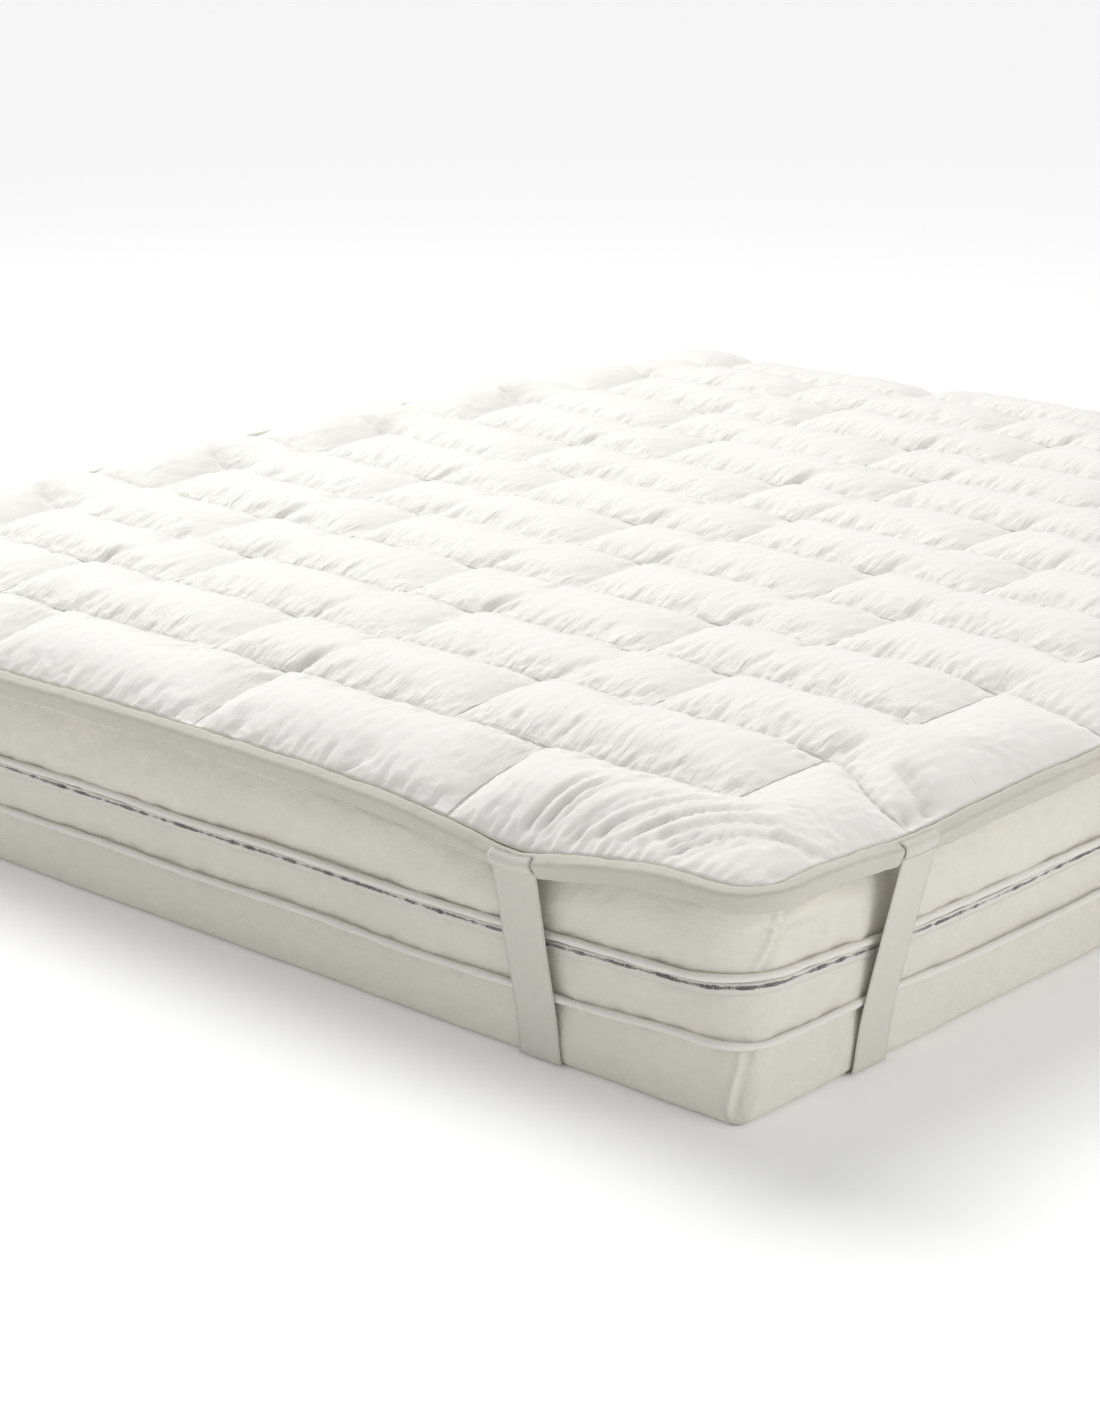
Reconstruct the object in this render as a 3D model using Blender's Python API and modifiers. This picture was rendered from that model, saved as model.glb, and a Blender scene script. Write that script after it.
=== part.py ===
"""Quilted mattress topper, held by elastic corner straps, lying over a mattress.

Metres, +Z up. The origin is the middle of the mattress's underside. X runs across
the bed and Y along it. Run with: blender --background --python part.py
"""
import math

import bmesh
import bpy
import numpy as np

# Mattress: a plain block of foam in a sewn cover
MATTRESS_WIDTH = 1.60
MATTRESS_LENGTH = 1.90
MATTRESS_HEIGHT = 0.26
CORNER_RADIUS = 0.050          # upright corners, seen from above
CORNER_STEPS = 8               # flats round each upright corner
RIM_RADIUS = 0.025             # last rounding into the side
FOOT_EDGE_RADIUS = 0.012

# Trim sewn round the mattress's side
PIPING_RADIUS = 0.004
UPPER_PIPING_HEIGHT = 0.131
LOWER_PIPING_HEIGHT = 0.071
TAPE_HEIGHT = 0.120
TAPE_WIDTH = 0.011
TAPE_THICKNESS = 0.0010

# Topper: rows run across the bed, channels run along it
ROW_PITCH = 0.186
CHANNEL_PITCH = 0.1484
ROW_COUNT = 9
CHANNEL_COUNT = 13
LINE_SHIFT = 0.137             # odd row lines sit back, even ones forward, in row pitches
SEAM_THICKNESS = 0.010         # the cloth and filling, stitched flat
EDGE_THICKNESS = 0.012         # the wall that the binding closes
CROWN = 0.024                  # how far a puff stands above its seams
WAIST = 0.22                   # share of the crown lost at a puff's waist crease
CHANNEL_BORDER_CROWN = 1.15    # share of the crown in the cells along the long sides
DOUBLE_CROWN = dict(near=1.30, far=1.50)      # and in those along the ends at +X and -X

# The bed's soft edge: from EDGE_ZONE in, the top falls away along a superellipse
EDGE_ZONE = 0.25
EDGE_POWER = 1.6
EDGE_LIFT = 0.0025             # the draped cloth clears the mattress's edge by this
FALL = {
    # depth and length of the superellipse, and where the topper's edge comes to lie,
    # measured from the bed's middle: between the straps, at a strap and at a corner;
    # between its straps the end at -X is left level
    "end": {
        "free": dict(depth=0.038, length=0.290, edge=0.815),
        "level": dict(depth=0.000, length=0.290, edge=0.826),
        "strap": dict(depth=0.042, length=0.270, edge=0.812),
        "corner": dict(depth=0.014, length=0.290, edge=0.826),
    },
    "side": {
        "free": dict(depth=0.045, length=0.290, edge=0.958),
        "strap": dict(depth=0.060, length=0.262, edge=0.957),
        "corner": dict(depth=0.030, length=0.290, edge=0.962),
    },
}
CORNER_ZONE = 0.20             # length over which the edge levels out into a corner
CORNER_ROUNDING = 0.045        # corner of the topper, seen from above
PULL_INWARD = 0.15             # how far a strap's pull spreads, away from the corner
PULL_OUTWARD = 0.10            # and towards it

# Binding sewn over the topper's edge
BINDING_RADIUS = 0.0095

# Elastic corner straps: distance from the mattress's corner, at the topper and at the foot
STRAP_WIDTH = 0.053
STRAP_THICKNESS = 0.0015
STRAP_ON_SIDE = dict(top=0.262, foot=0.245)
STRAP_ON_END = dict(top=0.227, foot=0.196)
STRAP_STEPS_ACROSS = 4

GAP = 0.0004                   # between pieces that touch
BINDING_GAP = 0.0009
GROOVE_DEPTH = 0.0024          # pressed into the mattress by each strap
GROOVE_MARGIN = 0.002

HALF_WIDTH = MATTRESS_WIDTH / 2.0
HALF_LENGTH = MATTRESS_LENGTH / 2.0

# Fractions of a cell at which the topper's grid has a line
FRACTIONS = {
    "strap row": (0.0, 0.17, 0.39, 0.61, 0.83),
    "wide row": (0.0, 0.22, 0.5, 0.78),
    "narrow row": (0.0, 0.33, 0.67),
    "channel": (0.0, 0.15, 0.5, 0.85),
    "first border": (0.0, 0.10, 0.23, 0.38, 0.55, 0.75),
    "last border": (0.0, 0.25, 0.45, 0.62, 0.77, 0.90),
}
# Distances in from the mattress's side, past its corner, at which its top has a line
MATTRESS_LINES = (0.064, 0.085, 0.110, 0.145, 0.185, 0.225, 0.265, 0.305, 0.355, 0.430,
                  0.540)


def clear_scene():
    for item in list(bpy.data.objects):
        bpy.data.objects.remove(item, do_unlink=True)


def new_collection(name, hidden=False):
    collection = bpy.data.collections.new(name)
    bpy.context.scene.collection.children.link(collection)
    collection.hide_render = hidden
    return collection


def cloth_material(name, colour, roughness):
    material = bpy.data.materials.new(name)
    material.use_nodes = True
    shader = material.node_tree.nodes["Principled BSDF"]
    shader.inputs["Base Color"].default_value = (*colour, 1.0)
    shader.inputs["Roughness"].default_value = roughness
    shader.inputs["Metallic"].default_value = 0.0
    return material


def add_object(name, data, material, collection):
    item = bpy.data.objects.new(name, data)
    data.materials.append(material)
    collection.objects.link(item)
    return item


def placed_grid(points):
    """A grid sheet whose corners lie at points[i, j]."""
    across, along = points.shape[0] - 1, points.shape[1] - 1
    sheet = bmesh.new()
    station = sheet.verts.layers.int.new("station")
    bmesh.ops.create_grid(sheet, x_segments=across, y_segments=along, size=1.0)
    for vert in sheet.verts:
        i = round((vert.co.x + 1.0) / 2.0 * across)
        j = round((vert.co.y + 1.0) / 2.0 * along)
        vert[station] = i * (along + 1) + j
        vert.co = points[i, j]
    return sheet


def mesh_from(sheet, name):
    mesh = bpy.data.meshes.new(name)
    sheet.to_mesh(mesh)
    sheet.free()
    mesh.shade_smooth()
    mesh.set_sharp_from_angle(angle=math.radians(50.0))
    return mesh


# Mattress ------------------------------------------------------------------------

def mattress_line_places(half):
    """The lines in the corner turn its square end into equal flats of a circle."""
    steps = np.arange(CORNER_STEPS // 2, -1, -1) / (CORNER_STEPS // 2)
    turned = CORNER_RADIUS * (1.0 - math.sqrt(2.0) * np.sin(math.radians(45.0) * steps))
    inner = half - np.concatenate((turned, MATTRESS_LINES))
    return np.concatenate((-inner, [0.0], inner[::-1]))


def mattress_top():
    """The mattress's top, out to its side: level in the middle, soft at the edges."""
    x, y = np.meshgrid(mattress_line_places(HALF_WIDTH),
                       mattress_line_places(HALF_LENGTH), indexing='ij')
    x, y = round_corner(x, y, HALF_WIDTH, HALF_LENGTH, CORNER_RADIUS)
    height = MATTRESS_HEIGHT - edge_fall(x, y)
    corner_x = np.maximum(np.abs(x) - (HALF_WIDTH - CORNER_RADIUS), 0.0)
    corner_y = np.maximum(np.abs(y) - (HALF_LENGTH - CORNER_RADIUS), 0.0)
    to_side = CORNER_RADIUS - np.hypot(corner_x, corner_y)
    turn = np.clip(1.0 - to_side / RIM_RADIUS, 0.0, 1.0)
    height -= RIM_RADIUS * (1.0 - np.sqrt(1.0 - turn * turn))
    return np.stack([x, y, height], axis=-1)


def make_mattress(material, collection, cutters):
    """The top sheet, carried straight down to the foot and closed there."""
    block = placed_grid(mattress_top())
    rim = [edge for edge in block.edges if edge.is_boundary]
    foot_turns = [(0.0, FOOT_EDGE_RADIUS), (0.3, 0.3 * FOOT_EDGE_RADIUS), (1.0, 0.0)]
    for inward, height in foot_turns:
        raised = bmesh.ops.extrude_edge_only(block, edges=rim)["geom"]
        rim = [item for item in raised if isinstance(item, bmesh.types.BMEdge)]
        shrink_x = 1.0 - inward * FOOT_EDGE_RADIUS / HALF_WIDTH
        shrink_y = 1.0 - inward * FOOT_EDGE_RADIUS / HALF_LENGTH
        for vert in {vert for edge in rim for vert in edge.verts}:
            vert.co.x *= shrink_x
            vert.co.y *= shrink_y
            vert.co.z = height
    bmesh.ops.holes_fill(block, edges=rim, sides=0)
    bmesh.ops.recalc_face_normals(block, faces=block.faces[:])
    mattress = add_object("mattress", mesh_from(block, "mattress"), material, collection)
    for number, (sx, sy) in enumerate(corners(), start=1):
        groove = mattress.modifiers.new(f"strap_groove_{number}", 'BOOLEAN')
        groove.operation = 'DIFFERENCE'
        groove.object = make_groove(number, sx, sy, cutters)


def corners():
    """The bed's four corners, as the signs of X and Y."""
    return ((1, -1), (1, 1), (-1, 1), (-1, -1))


def make_groove(number, sx, sy, cutters):
    """The shallow channel under one corner, where its strap crosses the underside."""
    half = STRAP_WIDTH / 2.0 + GROOVE_MARGIN
    x_foot = HALF_WIDTH - STRAP_ON_SIDE["foot"]
    y_foot = HALF_LENGTH - STRAP_ON_END["foot"]
    past, inside = 0.010, 0.006
    outline = [
        (x_foot - half, HALF_LENGTH + past), (x_foot + half, HALF_LENGTH + past),
        (x_foot + half, HALF_LENGTH - inside), (HALF_WIDTH - inside, y_foot + half),
        (HALF_WIDTH + past, y_foot + half), (HALF_WIDTH + past, y_foot - half),
        (HALF_WIDTH - inside, y_foot - half), (x_foot - half, HALF_LENGTH - inside),
    ]
    cutter = bmesh.new()
    verts = [cutter.verts.new((sx * x, sy * y, -0.010)) for x, y in outline]
    bmesh.ops.extrude_face_region(cutter, geom=[cutter.faces.new(verts)])
    cutter.verts.ensure_lookup_table()
    for vert in cutter.verts[len(outline):]:
        vert.co.z = GROOVE_DEPTH
    bmesh.ops.recalc_face_normals(cutter, faces=cutter.faces[:])
    item = bpy.data.objects.new(f"groove_cutter_{number}", mesh_from(cutter, "groove"))
    item.hide_render = True
    item.display_type = 'WIRE'
    cutters.objects.link(item)
    return item


def side_outline(offset):
    """The mattress's rounded outline, seen from above, pushed out by offset."""
    points = []
    for number, (sx, sy) in enumerate(corners()):
        start = math.radians(-90.0 + 90.0 * number)
        for step in range(CORNER_STEPS + 1):
            angle = start + math.radians(90.0) * step / CORNER_STEPS
            reach = CORNER_RADIUS + offset
            points.append((sx * (HALF_WIDTH - CORNER_RADIUS) + reach * math.cos(angle),
                           sy * (HALF_LENGTH - CORNER_RADIUS) + reach * math.sin(angle)))
    return points


def ring_curve(name, points, material, collection):
    """A closed path through points, ready for a round or a flat section."""
    curve = bpy.data.curves.new(name, 'CURVE')
    curve.dimensions = '3D'
    spline = curve.splines.new('POLY')
    spline.points.add(len(points) - 1)
    for place, point in zip(spline.points, points):
        place.co = (*point, 1.0)
    spline.use_cyclic_u = True
    return add_object(name, curve, material, collection)


def make_piping(name, height, material, collection):
    path = [(x, y, height) for x, y in side_outline(GAP + 0.0002 + PIPING_RADIUS)]
    piping = ring_curve(name, path, material, collection)
    piping.data.bevel_depth = PIPING_RADIUS
    piping.data.bevel_resolution = 1


def make_tape(material, collection):
    """A flat band standing against the side, just under the upper piping."""
    path = [(x, y, 0.0) for x, y in side_outline(GAP)]
    tape = ring_curve("side_tape", path, material, collection)
    tape.data.dimensions = '2D'
    tape.data.fill_mode = 'NONE'
    tape.data.extrude = TAPE_WIDTH / 2.0
    tape.location.z = TAPE_HEIGHT
    wall = tape.modifiers.new("thickness", 'SOLIDIFY')
    wall.thickness = TAPE_THICKNESS
    wall.offset = 1.0


# Topper --------------------------------------------------------------------------

def row_lines():
    """Places of the row lines across the bed, from edge to edge."""
    edge = FALL["end"]["free"]["edge"]
    lines = [-edge]
    for line in range(1, ROW_COUNT):
        shift = -LINE_SHIFT if line % 2 else LINE_SHIFT
        lines.append((line + shift - ROW_COUNT / 2.0) * ROW_PITCH)
    return np.array(lines + [edge])


def channel_lines():
    """Places of the channel lines along the bed, from edge to edge."""
    inner = (np.arange(1, CHANNEL_COUNT) - CHANNEL_COUNT / 2.0) * CHANNEL_PITCH
    edge = FALL["side"]["free"]["edge"]
    return np.concatenate(([-edge], inner, [edge]))


def grid_stations(count, kind_of):
    """Line numbers, with fractions, at which the sheet has a grid line."""
    stations = [cell + part for cell in range(count) for part in FRACTIONS[kind_of(cell)]]
    return np.array(stations + [count], dtype=float)


def row_kind(cell):
    if cell == 0:
        return "first border"
    if cell == ROW_COUNT - 1:
        return "last border"
    if cell in (1, ROW_COUNT - 2):
        return "strap row"
    return "wide row" if cell % 2 else "narrow row"


def channel_kind(cell):
    if cell == 0:
        return "first border"
    return "last border" if cell == CHANNEL_COUNT - 1 else "channel"


def smooth(value):
    value = np.clip(value, 0.0, 1.0)
    return value * value * (3.0 - 2.0 * value)


def strap_pull(place, strap):
    """1 at a strap, fading to both sides; place is measured from the side's middle."""
    away = np.abs(place) - strap
    spread = np.where(away > 0.0, PULL_OUTWARD, PULL_INWARD)
    return 1.0 / (1.0 + (away / spread) ** 2)


def fall_at(side, place, key, between="free"):
    """One measure of the topper's fall over an edge, at a place along that edge."""
    if side == "side":
        strap, corner = HALF_WIDTH - STRAP_ON_SIDE["top"], HALF_WIDTH
    else:
        strap, corner = HALF_LENGTH - STRAP_ON_END["top"], HALF_LENGTH
    free, at_strap, at_corner = (FALL[side][where][key]
                                 for where in (between, "strap", "corner"))
    pull = strap_pull(place, strap)
    level = smooth((np.abs(place) - (corner - CORNER_ZONE)) / CORNER_ZONE)
    value = free + (at_strap - free) * pull
    return value * (1.0 - level) + at_corner * level


def profile(past, depth, length):
    """How far a superellipse of this depth and length has fallen, past its start."""
    part = np.clip(past / length, 0.0, 1.0)
    return depth * (1.0 - (1.0 - part ** EDGE_POWER) ** (1.0 / EDGE_POWER))


def end_fall_at(x, y, key):
    """The same for whichever end is nearer to x."""
    return np.where(x < 0.0, fall_at("end", y, key, "level"), fall_at("end", y, key))


def edge_fall(x, y):
    """How far the bed's top has fallen, towards its ends and its long sides together."""
    past_end = np.abs(x) - (HALF_WIDTH - EDGE_ZONE)
    past_side = np.abs(y) - (HALF_LENGTH - EDGE_ZONE)
    to_end = profile(past_end, end_fall_at(x, y, "depth"), end_fall_at(x, y, "length"))
    to_side = profile(past_side, fall_at("side", x, "depth"), fall_at("side", x, "length"))
    return to_end + to_side


def sheet_height(x, y):
    """Height of the topper's underside over the bed."""
    past = np.maximum(np.abs(x) - (HALF_WIDTH - EDGE_ZONE),
                      np.abs(y) - (HALF_LENGTH - EDGE_ZONE))
    lift = EDGE_LIFT * smooth(past / 0.08)
    return MATTRESS_HEIGHT + GAP + lift - edge_fall(x, y)


def sheet_normal(x, y):
    """Upward normal of the underside, from its slope over a short step."""
    step = 0.0015
    inward_x, inward_y = x - np.sign(x) * step, y - np.sign(y) * step
    here = sheet_height(x, y)
    slope_x = np.sign(x) * (here - sheet_height(inward_x, y)) / step
    slope_y = np.sign(y) * (here - sheet_height(x, inward_y)) / step
    return unit(np.stack([-slope_x, -slope_y, np.ones_like(x)], axis=-1))


def unit(vectors):
    return vectors / np.linalg.norm(vectors, axis=-1, keepdims=True)


def sheet_place(rows, channels):
    """Where line numbers (with fractions) come to lie, seen from above."""
    row_at, channel_at = row_lines(), channel_lines()
    x = np.interp(rows, np.arange(ROW_COUNT + 1), row_at)
    y = np.interp(channels, np.arange(CHANNEL_COUNT + 1), channel_at)
    edge_x, edge_y = end_fall_at(x, y, "edge"), fall_at("side", x, "edge")
    x, y = stretch_border(x, row_at, edge_x), stretch_border(y, channel_at, edge_y)
    return round_corner(x, y, edge_x, edge_y, CORNER_ROUNDING)


def stretch_border(place, lines, edge):
    """Scale the border cell so that it ends at the edge instead of at the last line."""
    inner, outer = lines[-2], lines[-1]
    share = np.maximum(np.abs(place) - inner, 0.0) / (outer - inner)
    return np.where(share > 0.0, np.sign(place) * (inner + share * (edge - inner)), place)


def round_corner(x, y, edge_x, edge_y, radius):
    """Draw a sheet's square corner in to a quarter circle."""
    p = np.clip((np.abs(x) - (edge_x - radius)) / radius, 0.0, 1.0)
    q = np.clip((np.abs(y) - (edge_y - radius)) / radius, 0.0, 1.0)
    inward_x = radius * p * (1.0 - np.sqrt(1.0 - q * q / 2.0))
    inward_y = radius * q * (1.0 - np.sqrt(1.0 - p * p / 2.0))
    return x - np.sign(x) * inward_x, y - np.sign(y) * inward_y


def dome(part):
    """Cross-section of a puff: 0 at both seams, steep beside them and level between."""
    return np.maximum(1.0 - np.abs(2.0 * part - 1.0) ** 3.0, 0.0) ** 0.6


def rise_from(distance, length):
    """0 on a seam, rounding up to 1 about one length away from it."""
    return 1.0 - np.exp(-(distance / length) ** 1.3)


def puff(rows, channels, x, y):
    """Height of the filling above the seams, at every point of the sheet.

    Each channel is stitched across at every second row line, in turn with its
    neighbours, like bricks. Past the first and the last row line only every second
    channel line goes on, so the cells there are twice as wide.
    """
    row_at, channel_at = row_lines(), channel_lines()
    channel = np.clip(np.floor(channels), 0, CHANNEL_COUNT - 1)
    on_border = (channel == 0) | (channel == CHANNEL_COUNT - 1)
    # channels 0, 2, 4... are closed by the odd row lines, the others by the even ones
    closed_by_odd = channel % 2 == 0
    single = dome(channels - channel) * np.where(on_border, CHANNEL_BORDER_CROWN, 1.0)
    along = np.ones_like(x)
    for line in range(1, ROW_COUNT):
        stitched = closed_by_odd == (line % 2 == 1)
        away = np.abs(x - row_at[line])
        waist = 1.0 - np.where(on_border, 0.0, WAIST) * np.exp(-(away / 0.020) ** 2)
        along = along * np.where(stitched, rise_from(away, 0.026), waist)
    # double cells past the outer row lines, between channel lines 0, 2, 4 ... 12, 13
    pair = 2 * np.floor(np.minimum(channels, CHANNEL_COUNT - 0.001) / 2.0)
    low, high = (np.interp(line, np.arange(CHANNEL_COUNT + 1), channel_at)
                 for line in (pair, np.minimum(pair + 2, CHANNEL_COUNT)))
    double = (np.where(x < 0.0, DOUBLE_CROWN["far"], DOUBLE_CROWN["near"])
              * dome(np.clip((y - low) / (high - low), 0.0, 1.0)))
    past = np.abs(x) - row_at[-2]
    share = smooth(past / 0.075)
    to_end = rise_from(np.abs(end_fall_at(x, y, "edge") - np.abs(x)), 0.022)
    outer = (along * single * (1.0 - share) + double * share) * to_end
    return CROWN * np.where(past > 0.0, outer, along * single)


def sheet_points():
    """Underside and top of the topper, on its grid of stitch lines and fractions."""
    rows = grid_stations(ROW_COUNT, row_kind)
    channels = grid_stations(CHANNEL_COUNT, channel_kind)
    rows, channels = np.meshgrid(rows, channels, indexing='ij')
    x, y = sheet_place(rows, channels)
    under = np.stack([x, y, sheet_height(x, y)], axis=-1)
    thickness = SEAM_THICKNESS + puff(rows, channels, x, y)
    at_edge = ((rows == 0) | (rows == ROW_COUNT) |
               (channels == 0) | (channels == CHANNEL_COUNT))
    thickness = np.where(at_edge, EDGE_THICKNESS, thickness)
    return under, under + sheet_normal(x, y) * thickness[..., None]


def make_topper(material, collection):
    """The grid sheet is the underside; extruding it gives the quilted top and the edge."""
    under, top = sheet_points()
    sheet = placed_grid(under)
    station = sheet.verts.layers.int["station"]
    raised = bmesh.ops.extrude_face_region(sheet, geom=sheet.faces[:])["geom"]
    for vert in raised:
        if isinstance(vert, bmesh.types.BMVert):
            vert.co = top.reshape(-1, 3)[vert[station]]
    flat = [face for face in sheet.faces
            if all(abs(vert.co.z - MATTRESS_HEIGHT - GAP) < 1e-6 for vert in face.verts)]
    bmesh.ops.dissolve_faces(sheet, faces=flat)
    bmesh.ops.recalc_face_normals(sheet, faces=sheet.faces[:])
    add_object("topper", mesh_from(sheet, "topper"), material, collection)


def edge_ring():
    """Round the topper's edge, anticlockwise: middle of the edge wall, its normal, and
    the way out, lengthened at each turn so that an offset path keeps its distance."""
    under, top = sheet_points()
    last_i, last_j = under.shape[0] - 1, under.shape[1] - 1
    walk = ([(i, 0) for i in range(last_i)] + [(last_i, j) for j in range(last_j)]
            + [(i, last_j) for i in range(last_i, 0, -1)]
            + [(0, j) for j in range(last_j, 0, -1)])
    i, j = np.array(walk).T
    middle = (under[i, j] + top[i, j]) / 2.0
    normal = unit(top[i, j] - under[i, j])
    ahead = unit(np.roll(middle, -1, axis=0) - middle)
    behind = unit(middle - np.roll(middle, 1, axis=0))
    out = unit(np.cross(ahead + behind, normal))
    half_turn = np.linalg.norm(ahead + behind, axis=-1, keepdims=True) / 2.0
    return middle, normal, out / half_turn


def make_binding(material, collection):
    """A soft rolled binding, whose middle runs just outside the topper's edge wall."""
    middle, _, out = edge_ring()
    path = middle + out * (BINDING_RADIUS + BINDING_GAP)
    binding = ring_curve("edge_binding", path.tolist(), material, collection)
    binding.data.bevel_depth = BINDING_RADIUS
    binding.data.bevel_resolution = 1


# Corner straps -------------------------------------------------------------------

def edge_near(side, mirror, places):
    """Edge wall's middle, normal and way out, at places along an end or a long side.

    mirror turns the corner in hand into the one at +X +Y.
    """
    along, across = (0, 1) if side == "side" else (1, 0)
    middle, normal, out = (field * mirror for field in edge_ring())
    here = np.flatnonzero(middle[:, across] > 0.95 * middle[:, across].max())
    here = here[np.argsort(middle[here, along])]

    def read(field):
        return np.stack([np.interp(places, middle[here, along], field[here, axis])
                         for axis in range(3)], axis=-1)
    return read(middle), unit(read(normal)), unit(read(out))


def strap_side(side, mirror, corner_at, side_at, strap):
    """Cross-sections of a strap down one side, from its seam to the mattress's foot."""
    along, across = (0, 1) if side == "side" else (1, 0)
    share = np.linspace(-0.5, 0.5, STRAP_STEPS_ACROSS + 1) * STRAP_WIDTH
    middle, normal, out = edge_near(side, mirror, corner_at - strap["top"] + share)
    centre = middle + out * (BINDING_RADIUS + BINDING_GAP)
    clear = BINDING_RADIUS + GAP + STRAP_THICKNESS / 2.0 + 0.0006
    sections = [
        middle + out * 0.001 + normal * (EDGE_THICKNESS / 2.0 + 0.0022),
        middle + out * 0.005 + normal * clear,
        centre + normal * clear,
        centre + unit(normal + 0.9 * out) * clear,
        centre + unit(0.5 * normal + out) * (clear + 0.001),
    ]
    # below the binding: distance out from the mattress's side, and height
    foot = corner_at - strap["foot"] + share
    for away, height in ((0.0105, 0.066), (0.0042, 0.014), (0.0012, 0.0042),
                         (-0.006, GAP + STRAP_THICKNESS / 2.0)):
        section = np.empty_like(middle)
        section[:, along] = foot
        section[:, across] = side_at + away
        section[:, 2] = height
        sections.append(section)
    return sections


def make_straps(material, collection):
    """Each strap is one ribbon: down one side, across under the corner and up again."""
    for number, (sx, sy) in enumerate(corners(), start=1):
        mirror = np.array((sx, sy, 1.0))
        down = strap_side("side", mirror, HALF_WIDTH, HALF_LENGTH, STRAP_ON_SIDE)
        up = strap_side("end", mirror, HALF_LENGTH, HALF_WIDTH, STRAP_ON_END)[::-1]
        across = [down[-1] + (up[0] - down[-1]) * share for share in (0.33, 0.67)]
        sheet = placed_grid(np.array(down + across + up) * mirror)
        name = f"corner_strap_{number}"
        strap = add_object(name, mesh_from(sheet, name), material, collection)
        cloth = strap.modifiers.new("thickness", 'SOLIDIFY')
        cloth.thickness = STRAP_THICKNESS
        cloth.offset = 0.0
        cloth.use_even_offset = True


def build():
    clear_scene()
    parts = new_collection("mattress_topper_on_mattress")
    cutters = new_collection("cutters", hidden=True)
    quilt = cloth_material("quilted_cloth", (0.93, 0.92, 0.90), 0.75)
    trim = cloth_material("woven_trim", (0.88, 0.87, 0.82), 0.80)
    cover = cloth_material("mattress_cover", (0.84, 0.82, 0.76), 0.85)
    elastic = cloth_material("strap_elastic", (0.86, 0.85, 0.80), 0.80)
    make_mattress(cover, parts, cutters)
    make_piping("upper_piping", UPPER_PIPING_HEIGHT, trim, parts)
    make_piping("lower_piping", LOWER_PIPING_HEIGHT, trim, parts)
    make_tape(trim, parts)
    make_topper(quilt, parts)
    make_binding(trim, parts)
    make_straps(elastic, parts)


build()
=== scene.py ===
"""A quilted mattress topper, held over a plain mattress by an elastic strap at each corner.

Metres, +Z up. The origin is the middle of the mattress's underside, X runs across the bed
and Y along it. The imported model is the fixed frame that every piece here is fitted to.
"""
import math

import bpy
import numpy as np
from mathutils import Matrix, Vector


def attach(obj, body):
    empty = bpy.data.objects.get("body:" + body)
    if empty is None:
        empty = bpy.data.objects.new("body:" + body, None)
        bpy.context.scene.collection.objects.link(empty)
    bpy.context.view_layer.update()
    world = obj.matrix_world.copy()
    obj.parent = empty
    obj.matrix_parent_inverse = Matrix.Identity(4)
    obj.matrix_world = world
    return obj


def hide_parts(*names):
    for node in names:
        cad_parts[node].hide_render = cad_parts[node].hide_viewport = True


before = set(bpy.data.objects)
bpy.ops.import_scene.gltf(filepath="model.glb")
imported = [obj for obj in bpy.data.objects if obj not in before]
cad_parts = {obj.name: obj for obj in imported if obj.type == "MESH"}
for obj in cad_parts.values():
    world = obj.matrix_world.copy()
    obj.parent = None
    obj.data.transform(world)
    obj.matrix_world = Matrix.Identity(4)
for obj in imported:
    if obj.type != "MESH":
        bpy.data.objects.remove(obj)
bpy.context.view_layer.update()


# Mattress --------------------------------------------------------------------------------
# A block of soft foam, zipped into a knitted cover of three stacked strips. The cover
# puckers a little along both pipings, has a seam up each corner, and is drawn over the
# block's soft upper edge by the topper's straps.

HALF_WIDTH, HALF_LENGTH, MATTRESS_HEIGHT = 0.80, 0.95, 0.26
RIM_RADIUS = 0.025
FOOT_RADIUS = 0.012
LOWER_PIPING_HEIGHT, UPPER_PIPING_HEIGHT = 0.071, 0.131
# The upright corners are rounder at the tape than at the foot
CORNER_AT_HEIGHT = dict(height=(0.0, 0.071, 0.131, 0.200, 0.260),
                        radius=(0.018, 0.042, 0.072, 0.062, 0.052))
# The tape and pipings ride up a little towards each corner
CORNER_RISE, CORNER_RISE_REACH = 0.012, 0.20
# The seam up each corner leans: how far it lies round the corner from its middle
CORNER_SEAM = dict(height=(0.02, 0.07, 0.132, 0.187, 0.235),
                   along=(-0.010, 0.003, 0.012, 0.028, 0.034))
BAND_SEAM_AT = -0.646          # along the +X end, where the middle strip is joined
COVER_STRIPS = (
    # from, to, how far the strip bulges, rows of the mesh
    dict(low=FOOT_RADIUS, high=LOWER_PIPING_HEIGHT, bulge=0.0030, rows=12),
    dict(low=LOWER_PIPING_HEIGHT, high=UPPER_PIPING_HEIGHT, bulge=0.0025, rows=14),
    dict(low=UPPER_PIPING_HEIGHT, high=MATTRESS_HEIGHT - RIM_RADIUS, bulge=0.0050, rows=22),
)
COVER_COLOUR, COVER_SHADE = (0.80, 0.775, 0.69), (0.735, 0.715, 0.655)
# In the +X end beside its corner at -Y, as places along the end and heights
COVER_SWELLINGS = (
    # middle, reach both ways, and how far out
    ((-0.882, 0.217), (0.030, 0.013), 0.0055),
    ((-0.800, 0.212), (0.026, 0.016), 0.0030),
)
COVER_CREASES = (
    # start, end, sideways bow, width and depth
    ((-0.930, 0.208), (-0.835, 0.198), -0.004, 0.0034, 0.0034),
    ((-0.846, 0.212), (-0.829, 0.136), 0.003, 0.0040, 0.0030),
    ((-0.872, 0.074), (-0.850, 0.010), -0.004, 0.0060, 0.0022),
)
# Rings of the mesh over the top and under the foot, as shares of the outline
INNER_RINGS = np.array([0.985, 0.965, 0.94, 0.91, 0.87, 0.82, 0.76, 0.68, 0.5, 0.25, 0.02])
TOP_SINK = 0.0004              # how far the top lies below its nominal height, off the topper

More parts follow.
